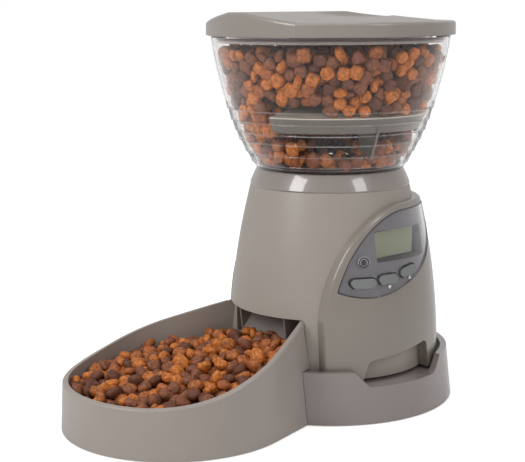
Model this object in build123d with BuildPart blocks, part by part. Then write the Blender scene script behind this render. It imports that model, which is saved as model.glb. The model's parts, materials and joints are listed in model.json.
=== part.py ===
"""Programmable dry-food feeder for a pet: lidded hopper, motor-driven portion wheel, tower and bowl.

Millimetres, +Z up. The origin is on the floor, under the middle of the whole footprint.
The bowl points to -Y and the control panel faces +X. Tower pieces are drawn about the tower's
own upright axis, which stands `tower_y` behind the origin.
"""

import os
from math import acos, asin, atan2, cos, degrees, hypot, pi, radians, sin, sqrt, tan

from build123d import *

os.makedirs("parts", exist_ok=True)

# ---------------------------------------------------------------- driving dimensions
# Tray that the tower stands in
tray_rim_gap = 3.4
tray_rim_thickness = 6.0
tray_rim_height = 48.0
tray_skirt_spread = 4.8
tray_wall = 3.0
tray_floor_gap = 0.8
platform_height = 34.0
tray_front = 88.5
seat_height = 1.6
seat_clearance = 0.25
notch_half_length = 46.0
notch_corner_radius = 9.0
rubber_foot_radius = 8.0
rubber_foot_height = 3.0
rubber_foot_inset = 14.6
rubber_foot_depth = 1.6

# Tower walls: radii at foot and top, and how far each wall bows out in between
housing_foot_radius = 98.6
housing_neck_radius = 76.0
housing_neck_height = 205.0
housing_bow = 4.8
housing_bow_drop = 63.6
housing_wall = 2.8
jacket_foot_step = 6.0
jacket_top_step = 7.15
jacket_top_drop = 11.5
jacket_bow = 5.05
jacket_bow_drop = 66.5
jacket_skin = 3.0
jacket_return_wall = 2.4
jacket_standoff = 0.15
jacket_edge_center_y = 18.0
jacket_edge_rise = 116.5
jacket_edge_reach = 86.5
jacket_edge_radius = 4.0
jacket_far_setback = 9.0
mouth_half_width = 58.2
mouth_flare = 0.093
mouth_corner_radius = 4.0
grip_rise = 27.15
grip_front = 38.0
grip_rear = 43.0
grip_depth = 11.0
grip_wall = 2.4

# Control panel on the +X side: places are (y, drop below the jacket's top edge)
panel_band = 5.5
panel_tip_angle = 158.0
panel_tail_y = 66.0
panel_lower_drops = [(-18.8, 80.1), (10.4, 72.3), (39.5, 58.8), (59.6, 40.7)]
panel_root = 36.0
lens_thickness = 2.6
lens_clearance = 0.2
backing_thickness = 2.0
backing_margin = 2.0
display_place = (12.0, 36.5)
display_width = 62.0
display_height = 28.0
display_wall = 1.6
led_place = (-33.2, 48.7)
led_radius = 2.6
button_row = {
    "enter_button": ((-35.0, 67.0), 22.5, 8.0, 0.0),
    "down_button": ((-10.5, 65.2), 20.0, 8.5, 2.0),
    "up_button": ((14.0, 60.5), 21.0, 8.0, 10.0),
}
button_proud = 1.2
button_clearance = 0.35
board_depth = 21.42
board_thickness = 1.6

# Collar, hopper, lid and feed baffle
collar_height = 16.3
collar_taper = 6.4
collar_lip = 3.6
hopper_foot_gap = 0.3
hopper_foot_step = 0.8
hopper_height = 123.4
hopper_rim_radius = 112.4
hopper_shoulder_rise = 62.9
hopper_shoulder_radius = 99.3
hopper_bow = 3.15
hopper_bow_rise = 28.4
hopper_step_rises = (5.4, 15.4, 26.4, 35.4, 45.4, 56.4)
hopper_wall = 3.0
hopper_step = 0.9
spigot_seat = 4.6
spigot_clearance = 0.3
bayonet_reach = 2.0
bayonet_turn = 20.0
baffle_gap = 1.65
baffle_skirt_rise = 38.4
baffle_shoulder_rise = 52.4
baffle_apex_rise = 68.4
baffle_skin = 2.4
baffle_window_directions = (70, 250)
baffle_window_half_angle = 35.0
baffle_window_radius = 55.0
baffle_rib_directions = (-10, 112, 208)
baffle_rib_radius = 56.0
baffle_rib_drop = 24.0
lid_overhang = 4.6
lid_wall_height = 12.6
lid_gap = 0.5
lid_skin = 2.6
lid_front_radius = 150.0
lid_front_flat = 5.7
lid_edge_radius = 3.0
ridge_rise = 8.9
ridge_top_half_width = 11.0
ridge_break_y = 16.0
ridge_end_y = 79.0
scoop_x = 27.0
scoop_y = 14.0
scoop_half_length = 46.0
scoop_half_width = 20.0
scoop_depth = 6.0

# Portion wheel and its drive
cup_drop = 11.0
cup_floor = 3.0
cup_depth = 23.0
cup_gap = 1.5
cup_wall = 2.5
rotor_clearance = 1.2
rotor_vanes = 6
vane_thickness = 2.6
hub_radius = 13.0
shaft_radius = 4.0
running_clearance = 0.05
port_half_angle = 30.0
port_rim = 2.0
gear_module = 1.5
output_teeth = 20
pinion_teeth = 10
idler_teeth = 40
gear_thickness = 6.0
gear_gap = 2.5
axle_radius = 1.5
motor_radius = 12.2
motor_length = 30.8
chute_half_width = 34.0
chute_wall = 2.0
chute_gap = 1.9

# Bowl
bowl_radius = 105.0
bowl_rim_radius = 100.5
bowl_offset = 87.5
bowl_neck_half_width = 79.4
bowl_neck_top_half_width = 57.4
bowl_front_height = 44.7
bowl_ramp_offset = 43.8
bowl_rise = 0.322
bowl_wall = 5.0
bowl_floor = 14.0
bowl_rim_fillet = 2.0
bowl_seam_gap = 0.5
bowl_lift_gap = 0.8

# Battery compartment: three D cells standing side by side
cell_radius = 17.1
cell_length = 61.5
cell_clearance = 0.6
battery_wall = 2.2
battery_gap = 5.3

# Screws
screw_radius = 1.45
screw_head_radius = 3.0
screw_head_height = 1.5

# ---------------------------------------------------------------- derived places
jacket_foot_radius = housing_foot_radius + jacket_foot_step
tray_rim_radius = jacket_foot_radius + tray_rim_gap + tray_rim_thickness
tray_foot_radius = tray_rim_radius + tray_skirt_spread
rubber_foot_spread = housing_foot_radius - rubber_foot_inset
bowl_center_y = -tray_front - bowl_offset
bowl_reach = bowl_radius - bowl_center_y
tower_y = (bowl_reach - tray_foot_radius) / 2
tower_foot = platform_height + seat_height + seat_clearance
jacket_top_height = housing_neck_height - jacket_top_drop
jacket_edge_center_z = jacket_top_height - jacket_edge_rise
grip_height = tower_foot + grip_rise
bowl_back = -tray_front + 18.5
bowl_rise_y = bowl_back - 6.0
ramp_foot_y = bowl_center_y - bowl_ramp_offset
ramp_top = bowl_front_height + bowl_rise * (bowl_rise_y - ramp_foot_y)
mouth_height = ramp_top + bowl_seam_gap
bowl_rear_wall = ramp_top - 31.0

ground = Plane((0, tower_y, 0))
front = Plane(origin=(0, tower_y, 0), x_dir=(1, 0, 0), z_dir=(0, -1, 0))
side = Plane(origin=(0, tower_y, 0), x_dir=(0, 1, 0), z_dir=(1, 0, 0))
tower_axis = Axis((0, tower_y, 0), (0, 0, 1))


# ---------------------------------------------------------------- outlines used by several pieces
class WallLine:
    """Upright wall line: a circular arc from foot to top, both (radius, height), that bows out."""

    def __init__(self, foot, top, bow_height, bow):
        (r1, z1), (r3, z3) = foot, top
        z2 = bow_height
        r2 = r1 + (r3 - r1) * (z2 - z1) / (z3 - z1) + bow
        spread = 2 * (r1 * (z2 - z3) + r2 * (z3 - z1) + r3 * (z1 - z2))
        s1, s2, s3 = r1**2 + z1**2, r2**2 + z2**2, r3**2 + z3**2
        self.center_r = (s1 * (z2 - z3) + s2 * (z3 - z1) + s3 * (z1 - z2)) / spread
        self.center_z = (s1 * (r3 - r2) + s2 * (r1 - r3) + s3 * (r2 - r1)) / spread
        self.bend = hypot(r1 - self.center_r, z1 - self.center_z)

    def radius(self, height, inset=0.0):
        """Wall radius at a height, drawn in by an inset."""
        return self.center_r + sqrt(self.bend**2 - (height - self.center_z) ** 2) - inset

    def point(self, height, inset=0.0):
        """(radius, height) of the wall line, drawn in by an inset."""
        return (self.radius(height, inset), height)

    def points(self, low, high, inset=0.0):
        """Five points of the wall line between two heights."""
        return [self.point(low + (high - low) * step / 4, inset) for step in range(5)]

    def band(self, low, high, outer, inner):
        """Closed section of the wall between two heights and two insets."""
        with BuildSketch(front) as section:
            with BuildLine():
                Spline(*self.points(low, high, outer))
                Line(self.point(high, outer), self.point(high, inner))
                Spline(*self.points(high, low, inner))
                Line(self.point(low, inner), self.point(low, outer))
            make_face()
        return section.sketch

    def core(self, low, high, inset=0.0):
        """Closed section from the axis out to the wall line."""
        with BuildSketch(front) as section:
            with BuildLine():
                Spline(*self.points(low, high, inset))
                Polyline(self.point(high, inset), (0, high), (0, low), self.point(low, inset))
            make_face()
        return section.sketch


housing_line = WallLine(
    (housing_foot_radius, tower_foot),
    (housing_neck_radius, housing_neck_height),
    housing_neck_height - housing_bow_drop,
    housing_bow,
)
jacket_line = WallLine(
    (jacket_foot_radius, tower_foot),
    (housing_line.radius(jacket_top_height) + jacket_top_step, jacket_top_height),
    jacket_top_height - jacket_bow_drop,
    jacket_bow,
)


def ring(inner, outer, low, high):
    """Rectangular section of a ring about the tower's axis."""
    with BuildSketch(front) as section:
        with Locations(((inner + outer) / 2, (low + high) / 2)):
            Rectangle(outer - inner, high - low)
    return section.sketch


def sector(height, direction, half_angle, outer, inner=0.0):
    """Level sector of a ring about the tower's axis; its direction is in degrees from +X."""
    corners = [
        (3 * outer * cos(radians(direction + turn)), 3 * outer * sin(radians(direction + turn)))
        for turn in (-half_angle, 0, half_angle)
    ]
    with BuildSketch(ground.offset(height)) as face:
        with BuildLine():
            Polyline((0, 0), *corners, close=True)
        make_face()
        Circle(outer, mode=Mode.INTERSECT)
        if inner:
            Circle(inner, mode=Mode.SUBTRACT)
    return face.sketch


def discs(height, radius, places):
    """Equal discs in a level plane."""
    with BuildSketch(ground.offset(height)) as faces:
        with Locations(*places):
            Circle(radius)
    return faces.sketch


def around(radius, angles):
    """Points on a circle about the tower's axis."""
    return [(radius * cos(radians(angle)), radius * sin(radians(angle))) for angle in angles]


def screws_from_below(name, places, seat, tip):
    """Group of equal screws: heads under the seat height, shanks up to the tip height."""
    with BuildPart() as group:
        extrude(discs(seat - screw_head_height, screw_head_radius, places), amount=screw_head_height)
        extrude(discs(seat - 0.2, screw_radius, places), amount=tip - seat + 0.2)
    group.part.label = name
    export_step(group.part, f"parts/{name}.step")


def side_edge(inset=0.0, setback=0.0):
    """Side view of the jacket: an elliptical front edge that turns level along the top."""
    reach = jacket_edge_reach - inset - setback
    rise = jacket_edge_rise - inset
    rear = jacket_foot_radius + 20
    with BuildSketch(side) as view:
        with Locations((jacket_edge_center_y, jacket_edge_center_z)):
            Ellipse(reach, rise)
            Rectangle(rear, rise, align=(Align.MIN, Align.MIN))
            Rectangle(reach, jacket_edge_center_z, align=(Align.MAX, Align.MAX))
            Rectangle(rear, jacket_edge_center_z, align=(Align.MIN, Align.MAX))
    return view.sketch


def edge_column(inset=0.0):
    """Column of the jacket's side view, which starts further back away from the panel."""
    with BuildPart() as column:
        extrude(side_edge(inset), amount=jacket_foot_radius + 10)
        extrude(side_edge(inset, jacket_far_setback), amount=-jacket_foot_radius - 10)
    return column.part


def pushed(points, margin):
    """Inner points of an open outline, moved to its right by a margin."""
    moved = []
    for before, point, after in zip(points, points[1:], points[2:]):
        along = Vector(after[0] - before[0], after[1] - before[1]).normalized()
        moved.append((point[0] + margin * along.Y, point[1] - margin * along.X))
    return moved


def panel_outline(margin=0.0):
    """Leaf-shaped outline of the control panel, which follows the jacket's front edge."""
    reach = jacket_edge_reach - panel_band + margin
    rise = jacket_edge_rise - panel_band + margin
    tip_angle = panel_tip_angle + degrees(margin / reach)
    tip = (
        jacket_edge_center_y + reach * cos(radians(tip_angle)),
        jacket_edge_center_z + rise * sin(radians(tip_angle)),
    )
    top = (jacket_edge_center_y, jacket_edge_center_z + rise)
    tail = (panel_tail_y + margin, top[1])
    lower_edge = [(y, jacket_top_height - drop) for y, drop in panel_lower_drops]
    with BuildSketch(side) as outline:
        with BuildLine():
            EllipticalCenterArc(
                (jacket_edge_center_y, jacket_edge_center_z), reach, rise, 90, arc_size=tip_angle - 90
            )
            Spline(tip, *pushed([tip, *lower_edge, tail], margin), tail)
            Line(tail, top)
        make_face()
    return outline.sketch


def panel_block(margin=0.0):
    """Column of the panel's outline, through everything outside `panel_root`."""
    with BuildPart() as block:
        extrude(panel_outline(margin), amount=jacket_foot_radius + 10)
        split(bisect_by=Plane((panel_root, 0, 0), z_dir=(1, 0, 0)))
    return block.part


def grip_outline(margin=0.0):
    """Side view of a hand grip: an arch that is open at the tower's foot."""
    with BuildSketch(side) as outline:
        with BuildLine():
            FilletPolyline(
                (-grip_front - 3 - margin, tower_foot - 6),
                (-grip_front + 5 - margin, grip_height - 8 + margin),
                (grip_rear - 5 + margin, grip_height + 1.5 + margin),
                (grip_rear + 1 + margin, tower_foot - 6),
                radius=6 + margin,
            )
            Line(
                (grip_rear + 1 + margin, tower_foot - 6),
                (-grip_front - 3 - margin, tower_foot - 6),
            )
        make_face()
    return outline.sketch


def mouth_outline(margin=0.0):
    """Front view of the tower's mouth, which widens towards the foot."""
    top = mouth_height + margin
    foot = tower_foot - 5
    half_top = mouth_half_width + margin
    half_foot = half_top + mouth_flare * (top - foot)
    with BuildSketch(front) as outline:
        with BuildLine():
            FilletPolyline(
                (-half_foot, foot), (-half_top, top), (half_top, top), (half_foot, foot),
                radius=mouth_corner_radius,
            )
            Line((half_foot, foot), (-half_foot, foot))
        make_face()
    return outline.sketch


# ---------------------------------------------------------------- tray
def tray_radius(height, inset=0.0):
    """Outer radius of the tray's sloping skirt at a height."""
    slope = (tray_foot_radius - tray_rim_radius) / tray_rim_height
    return tray_foot_radius - slope * height - inset


rim_inner_radius = tray_rim_radius - tray_rim_thickness
platform_underside = platform_height - tray_wall
tongue_half_width = 30.0
tongue_reach = 35.0
tongue_bottom = 3.0
tongue_thickness = 3.5

with BuildPart() as tray_hollow:
    with BuildSketch(front):
        with BuildLine():
            Polyline(
                (0, -tray_floor_gap),
                (tray_radius(-tray_floor_gap, tray_wall), -tray_floor_gap),
                (tray_radius(platform_underside, tray_wall), platform_underside),
                (0, platform_underside),
                close=True,
            )
        make_face()
    revolve(axis=tower_axis)
    split(bisect_by=Plane((0, tower_y - tray_front + tray_wall, 0), z_dir=(0, 1, 0)))

with BuildPart() as notches:
    with BuildSketch(side):
        with BuildLine():
            FilletPolyline(
                (-notch_half_length - 16, tray_rim_height + 12),
                (-notch_half_length + 6, platform_height),
                (notch_half_length - 8, platform_height),
                (notch_half_length + 18, tray_rim_height + 12),
                radius=notch_corner_radius,
            )
            Line(
                (notch_half_length + 18, tray_rim_height + 12),
                (-notch_half_length - 16, tray_rim_height + 12),
            )
        make_face()
    extrude(amount=tray_foot_radius + 5, both=True)

with BuildPart() as tray_base:
    with BuildSketch(front):
        with BuildLine():
            Polyline(
                (0, tray_floor_gap),
                (tray_radius(tray_floor_gap), tray_floor_gap),
                (tray_rim_radius, tray_rim_height),
                (rim_inner_radius, tray_rim_height),
                (rim_inner_radius, platform_height),
                (0, platform_height),
                close=True,
            )
        make_face()
    revolve(axis=tower_axis)
    split(bisect_by=Plane((0, tower_y - tray_front, 0), z_dir=(0, 1, 0)))
    add(notches.part, mode=Mode.SUBTRACT)
    add(tray_hollow.part, mode=Mode.SUBTRACT)
    with BuildSketch(ground.offset(rubber_foot_depth)):
        with PolarLocations(rubber_foot_spread, 4, start_angle=45):
            Circle(rubber_foot_radius + 2)
    extrude(amount=platform_underside - rubber_foot_depth + 0.1)
    with BuildSketch(ground):
        with PolarLocations(rubber_foot_spread, 4, start_angle=45):
            Circle(rubber_foot_radius + 0.1)
    extrude(amount=rubber_foot_height, mode=Mode.SUBTRACT)
    with BuildSketch(ground.offset(platform_height)):
        with PolarLocations(rubber_foot_spread, 4, start_angle=45):
            Circle(rubber_foot_radius)
    extrude(amount=seat_height)
    with BuildSketch(ground.offset(tongue_bottom)):
        with Locations((0, -tray_front - tongue_reach / 2 + 0.5)):
            Rectangle(2 * tongue_half_width, tongue_reach + 1)
    extrude(amount=tongue_thickness)
tray_base.part.label = "tray_base"
export_step(tray_base.part, "parts/tray_base.step")

with BuildPart() as tray_feet:
    with BuildSketch(ground):
        with PolarLocations(rubber_foot_spread, 4, start_angle=45):
            Circle(rubber_foot_radius)
    extrude(amount=rubber_foot_height)
tray_feet.part.label = "tray_feet"
export_step(tray_feet.part, "parts/tray_feet.step")


# ---------------------------------------------------------------- tower housing and jacket
base_plate_thickness = 2.6
base_plate_top = tower_foot + base_plate_thickness
collar_top_radius = housing_neck_radius - collar_taper
spigot_radius = collar_top_radius - collar_lip
spigot_bottom = housing_neck_height + spigot_seat
cup_floor_height = housing_neck_height - cup_drop
ledge_radius = spigot_radius + spigot_clearance + 0.7
ledge_thickness = 3.0
cup_screw_circle = housing_neck_radius - 6.0
cup_screw_boss = 3.6
cup_screw_angles = (45, 135, 225, 315)
base_screw_circle = housing_foot_radius - 6.0
base_screw_boss = 4.0
base_screw_height = 12.0
base_screw_angles = (52, 128, 217, 323)
pilot_clearance = 0.03
grip_inner = jacket_foot_radius - grip_depth
window_inset = 0.5

with BuildPart() as grip_liner:
    extrude(grip_outline(grip_wall), amount=jacket_foot_radius + 5, both=True)
    revolve(ring(grip_inner - grip_wall, jacket_foot_radius, tower_foot, grip_height + 12), axis=tower_axis, mode=Mode.INTERSECT)

with BuildPart() as grip_space:
    extrude(grip_outline(), amount=jacket_foot_radius + 10, both=True)
    revolve(ring(grip_inner, jacket_foot_radius + 5, tower_foot - 4, grip_height + 12), axis=tower_axis, mode=Mode.INTERSECT)

with BuildPart() as housing_envelope:
    revolve(housing_line.core(tower_foot, housing_neck_height), axis=tower_axis)

with BuildPart() as housing_liner:
    add(grip_liner.part)
    add(housing_envelope.part, mode=Mode.INTERSECT)

with BuildPart() as tower_housing:
    revolve(housing_line.band(tower_foot, housing_neck_height, 0.0, housing_wall), axis=tower_axis)
    ledge_low = housing_neck_height - ledge_thickness
    revolve(ring(ledge_radius, housing_line.radius(ledge_low, housing_wall / 2), ledge_low, housing_neck_height), axis=tower_axis)
    with BuildSketch(ground.offset(cup_floor_height + cup_floor)):
        for angle in cup_screw_angles:
            with PolarLocations(cup_screw_circle, 1, start_angle=angle):
                Circle(cup_screw_boss)
    extrude(amount=ledge_low - cup_floor_height - cup_floor + 0.5)
    with BuildSketch(ground.offset(base_plate_top)):
        for angle in base_screw_angles:
            with PolarLocations(base_screw_circle, 1, start_angle=angle):
                Circle(base_screw_boss)
    extrude(amount=base_screw_height)
    add(housing_liner.part)
    add(grip_space.part, mode=Mode.SUBTRACT)
    with BuildSketch(ground.offset(base_plate_top)):
        for angle in base_screw_angles:
            with PolarLocations(base_screw_circle, 1, start_angle=angle):
                Circle(screw_radius + pilot_clearance)
    extrude(amount=base_screw_height - 3, mode=Mode.SUBTRACT)
    with BuildSketch(ground.offset(cup_floor_height + cup_floor)):
        for angle in cup_screw_angles:
            with PolarLocations(cup_screw_circle, 1, start_angle=angle):
                Circle(screw_radius + pilot_clearance)
    extrude(amount=ledge_low - cup_floor_height - cup_floor + 1, mode=Mode.SUBTRACT)
    extrude(mouth_outline(), amount=housing_foot_radius + 5, mode=Mode.SUBTRACT)
    add(panel_block(-window_inset), mode=Mode.SUBTRACT)
tower_housing.part.label = "tower_housing"
export_step(tower_housing.part, "parts/tower_housing.step")

with BuildPart() as jacket_blank:
    revolve(jacket_line.core(tower_foot, jacket_top_height), axis=tower_axis)
    add(edge_column(), mode=Mode.INTERSECT)
    rim_edges = jacket_blank.edges().filter_by(
        lambda edge: edge.center().Z > tower_foot + 1
        and abs(
            hypot(edge.position_at(0.5).X, edge.position_at(0.5).Y - tower_y)
            - jacket_line.radius(min(edge.position_at(0.5).Z, jacket_top_height))
        )
        < 0.2
    )
    fillet(rim_edges, jacket_edge_radius)

with BuildPart() as jacket_hollow:
    revolve(
        jacket_line.core(tower_foot, jacket_top_height - jacket_return_wall, jacket_skin),
        axis=tower_axis,
    )
    add(edge_column(jacket_return_wall), mode=Mode.INTERSECT)
    extrude(grip_outline(grip_wall), amount=jacket_foot_radius + 10, both=True, mode=Mode.SUBTRACT)

with BuildPart() as jacket:
    add(jacket_blank.part)
    add(jacket_hollow.part, mode=Mode.SUBTRACT)
    revolve(
        housing_line.core(tower_foot - 1, housing_neck_height, -jacket_standoff),
        axis=tower_axis,
        mode=Mode.SUBTRACT,
    )
    add(grip_space.part, mode=Mode.SUBTRACT)
    add(panel_block(), mode=Mode.SUBTRACT)
jacket.part.label = "jacket"
export_step(jacket.part, "parts/jacket.step")

# ---------------------------------------------------------------- collar and hopper
collar_top_height = housing_neck_height + collar_height
groove_low = spigot_bottom - 0.4
groove_high = spigot_bottom + 4.4
groove_radius = spigot_radius + bayonet_reach + 0.4
lug_height = 3.5
lug_half_angle = 6.0
lug_angles = (30, 150, 270)
collar_inner = spigot_radius + spigot_clearance
collar_crown = (
    (housing_neck_radius + collar_top_radius) / 2 + 0.9,
    (housing_neck_height + collar_top_height) / 2,
)

with BuildPart() as collar:
    with BuildSketch(front):
        with BuildLine():
            Polyline(
                (collar_inner, housing_neck_height),
                (housing_neck_radius - 0.3, housing_neck_height),
                (housing_neck_radius + 0.3, housing_neck_height + 1.5),
            )
            Spline(
                (housing_neck_radius + 0.3, housing_neck_height + 1.5),
                collar_crown,
                (collar_top_radius + 0.6, collar_top_height - 1.2),
            )
            Polyline(
                (collar_top_radius + 0.6, collar_top_height - 1.2),
                (collar_top_radius - 0.4, collar_top_height),
                (collar_inner, collar_top_height),
                (collar_inner, groove_high),
                (groove_radius, groove_high),
                (groove_radius, groove_low),
                (collar_inner, groove_low),
                (collar_inner, housing_neck_height),
            )
        make_face()
    revolve(axis=tower_axis)
    for angle in lug_angles:
        extrude(
            sector(groove_low + 0.1, angle + bayonet_turn, lug_half_angle + 1, groove_radius),
            amount=collar_top_height,
            mode=Mode.SUBTRACT,
        )
collar.part.label = "collar"
export_step(collar.part, "parts/collar.step")

hopper_foot_height = collar_top_height + hopper_foot_gap
hopper_foot_radius = collar_top_radius + hopper_foot_step
hopper_shoulder_height = hopper_foot_height + hopper_shoulder_rise
hopper_rim_height = hopper_foot_height + hopper_height
hopper_step_heights = [hopper_foot_height + rise for rise in hopper_step_rises]
hopper_line = WallLine(
    (hopper_foot_radius, hopper_foot_height),
    (hopper_shoulder_radius, hopper_shoulder_height),
    hopper_foot_height + hopper_bow_rise,
    hopper_bow,
)
hopper_inner_line = [
    (spigot_radius - hopper_wall, spigot_bottom),
    (spigot_radius - hopper_wall, hopper_foot_height + hopper_wall),
    *[
        hopper_line.point(height, hopper_wall)
        for height in (hopper_foot_height + hopper_wall, *hopper_step_heights[1:], hopper_shoulder_height)
    ],
]
hopper_outer_line = [
    (spigot_radius, spigot_bottom),
    (spigot_radius, hopper_foot_height),
    (hopper_foot_radius, hopper_foot_height),
]
for height in hopper_step_heights:
    hopper_outer_line.append(hopper_line.point(height, hopper_step / 2))
    hopper_outer_line.append(hopper_line.point(height + 0.3, -hopper_step / 2))
hopper_outer_line.append((hopper_shoulder_radius, hopper_shoulder_height))
hopper_crown = (
    (hopper_shoulder_radius + hopper_rim_radius) / 2 + 1.3,
    (hopper_shoulder_height + hopper_rim_height) / 2,
)

with BuildPart() as hopper:
    with BuildSketch(front):
        with BuildLine():
            Polyline(*hopper_outer_line)
            Spline(
                (hopper_shoulder_radius, hopper_shoulder_height),
                hopper_crown,
                (hopper_rim_radius, hopper_rim_height - 1),
            )
            Polyline(
                (hopper_rim_radius, hopper_rim_height - 1),
                (hopper_rim_radius - 1, hopper_rim_height),
                (hopper_rim_radius - hopper_wall + 0.8, hopper_rim_height),
                (hopper_rim_radius - hopper_wall, hopper_rim_height - 1),
            )
            Spline(
                (hopper_rim_radius - hopper_wall, hopper_rim_height - 1),
                (hopper_crown[0] - hopper_wall, hopper_crown[1]),
                (hopper_shoulder_radius - hopper_wall, hopper_shoulder_height),
            )
            Polyline(*reversed(hopper_inner_line))
            Line(hopper_inner_line[0], hopper_outer_line[0])
        make_face()
    revolve(axis=tower_axis)
    for angle in lug_angles:
        extrude(
            sector(spigot_bottom, angle, lug_half_angle, spigot_radius + bayonet_reach, spigot_radius - 0.5),
            amount=lug_height,
        )
hopper.part.label = "hopper"
export_step(hopper.part, "parts/hopper.step")

# Hood inside the hopper: it carries the food's weight and lets it past two open windows
baffle_skirt = hopper_foot_height + baffle_skirt_rise
baffle_shoulder = hopper_foot_height + baffle_shoulder_rise
baffle_apex = hopper_foot_height + baffle_apex_rise
baffle_rib_bottom = baffle_skirt - baffle_rib_drop
baffle_radius = hopper_line.radius(baffle_shoulder, hopper_wall + baffle_gap)
baffle_skirt_radius = hopper_line.radius(baffle_skirt, hopper_wall + baffle_gap)
hood_line = [(0, baffle_apex), (baffle_radius, baffle_shoulder), (baffle_skirt_radius, baffle_skirt)]
rib_clearance = 0.1
rib_wall_line = [
    hopper_line.point(height, hopper_wall + rib_clearance)
    for height in (baffle_rib_bottom, *[h for h in hopper_step_heights if baffle_rib_bottom < h < baffle_shoulder])
]

with BuildPart() as feed_baffle:
    with BuildSketch(front):
        with BuildLine():
            Polyline(
                *hood_line,
                (baffle_skirt_radius - baffle_skin, baffle_skirt),
                (baffle_radius - baffle_skin - 0.3, baffle_shoulder - baffle_skin + 0.6),
                (0, baffle_apex - baffle_skin),
                close=True,
            )
        make_face()
    revolve(axis=tower_axis)
    for direction in baffle_window_directions:
        extrude(
            sector(baffle_skirt - 5, direction, baffle_window_half_angle, hopper_rim_radius, baffle_window_radius),
            amount=baffle_apex,
            mode=Mode.SUBTRACT,
        )
    for direction in baffle_rib_directions:
        outward = (cos(radians(direction)), sin(radians(direction)), 0)
        across = (sin(radians(direction)), -cos(radians(direction)), 0)
        rib_plane = Plane(origin=(0, tower_y, 0), x_dir=outward, z_dir=across)
        with BuildSketch(rib_plane):
            with BuildLine():
                Polyline(
                    (baffle_rib_radius, baffle_rib_bottom),
                    *rib_wall_line,
                    (baffle_skirt_radius - 1, baffle_skirt + 1),
                    (baffle_radius - 2.5, baffle_shoulder - 1.2),
                    (baffle_rib_radius, baffle_shoulder + 4),
                    close=True,
                )
            make_face()
        extrude(amount=baffle_skin / 2, both=True)
feed_baffle.part.label = "feed_baffle"
export_step(feed_baffle.part, "parts/feed_baffle.step")

# ---------------------------------------------------------------- lid
lid_bottom = hopper_rim_height + lid_gap
lid_shelf = lid_bottom + lid_wall_height
lid_radius = hopper_rim_radius + lid_overhang
ridge_height = lid_shelf + ridge_rise
lid_front_offset = lid_front_radius - lid_radius + lid_front_flat
crease_y = (lid_front_offset**2 - lid_front_radius**2 + lid_radius**2) / (2 * lid_front_offset)
crease_x = sqrt(lid_radius**2 - crease_y**2)
lid_ring_radius = hopper_rim_radius - hopper_wall - 2.9
lid_ring_wall = 2.5
lid_ring_bottom = hopper_rim_height - 6.0
lid_seat_gap = 0.2


def lid_block(inset=0.0, bottom=0.0):
    """Lid's outer shape with its ridge, drawn in by an inset."""
    top = ridge_height - inset
    shelf = lid_shelf - inset
    low = lid_bottom - 1 if inset else lid_bottom
    with BuildPart() as block:
        with BuildSketch(front):
            with BuildLine():
                Polyline(
                    (-lid_radius - 5, low), (-lid_radius - 5, shelf), (-crease_x, shelf),
                    (-ridge_top_half_width, top), (ridge_top_half_width, top), (crease_x, shelf),
                    (lid_radius + 5, shelf), (lid_radius + 5, low), close=True,
                )
            make_face()
        extrude(amount=lid_radius + 10, both=True)
        with BuildSketch(side):
            with BuildLine():
                Polyline(
                    (ridge_break_y, top), (ridge_end_y, shelf), (lid_radius + 20, shelf),
                    (lid_radius + 20, top + 5), (ridge_break_y, top + 5), close=True,
                )
            make_face()
        extrude(amount=lid_radius + 10, both=True, mode=Mode.SUBTRACT)
        with BuildSketch(ground.offset(low)):
            Circle(lid_radius - inset)
            with Locations((0, lid_front_offset)):
                Circle(lid_front_radius - inset, mode=Mode.INTERSECT)
        extrude(amount=top - low + 1, mode=Mode.INTERSECT)
    return block.part


def scoop_block(margin=0.0):
    """Finger scoops: a shallow barrel dips into either flank of the ridge."""
    flank = (scoop_x - ridge_top_half_width) / (crease_x - ridge_top_half_width)
    barrel = (scoop_half_width**2 + scoop_depth**2) / (2 * scoop_depth)
    rise = barrel - scoop_depth
    axis_height = ridge_height - ridge_rise * flank + rise
    reach = scoop_half_length * 1.25
    drop = rise - scoop_depth * 0.5625
    with BuildPart() as block:
        for x in (-scoop_x, scoop_x):
            with BuildSketch(Plane(origin=(x, tower_y + scoop_y, axis_height), x_dir=(0, 1, 0), z_dir=(1, 0, 0))):
                with BuildLine():
                    Spline(
                        (-reach, -drop - margin), (-scoop_half_length, -rise - margin), (0, -barrel - margin),
                        (scoop_half_length, -rise - margin), (reach, -drop - margin),
                    )
                    Polyline((reach, -drop - margin), (reach, 0), (-reach, 0), (-reach, -drop - margin))
                make_face()
            revolve(axis=Axis((x, tower_y + scoop_y, axis_height), (0, 1, 0)))
    return block.part


with BuildPart() as lid:
    add(lid_block())
    outer_edges = lid.edges().filter_by(
        lambda edge: edge.center().Z > lid_bottom + 1
        and hypot(edge.position_at(0.5).X, edge.position_at(0.5).Y - tower_y) > lid_front_radius - lid_front_offset - 10
    )
    fillet(outer_edges, lid_edge_radius)
    add(scoop_block(), mode=Mode.SUBTRACT)
    with BuildPart(mode=Mode.PRIVATE) as lid_hollow:
        add(lid_block(lid_skin))
        add(scoop_block(lid_skin), mode=Mode.SUBTRACT)
    add(lid_hollow.part, mode=Mode.SUBTRACT)
    with BuildPart(mode=Mode.PRIVATE) as lid_ring:
        revolve(
            ring(lid_ring_radius - lid_ring_wall, lid_ring_radius, lid_ring_bottom, lid_shelf - lid_skin + 0.6),
            axis=tower_axis,
        )
        revolve(
            ring(
                lid_ring_radius - 0.5, lid_radius - lid_skin + 0.5,
                hopper_rim_height + lid_seat_gap, lid_bottom + 2.2,
            ),
            axis=tower_axis,
        )
        with BuildSketch(ground.offset(lid_ring_bottom - 1)):
            Circle(lid_radius - 0.5)
            with Locations((0, lid_front_offset)):
                Circle(lid_front_radius - 0.5, mode=Mode.INTERSECT)
        extrude(amount=40, mode=Mode.INTERSECT)
    add(lid_ring.part)
lid.part.label = "lid"
export_step(lid.part, "parts/lid.step")

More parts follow.
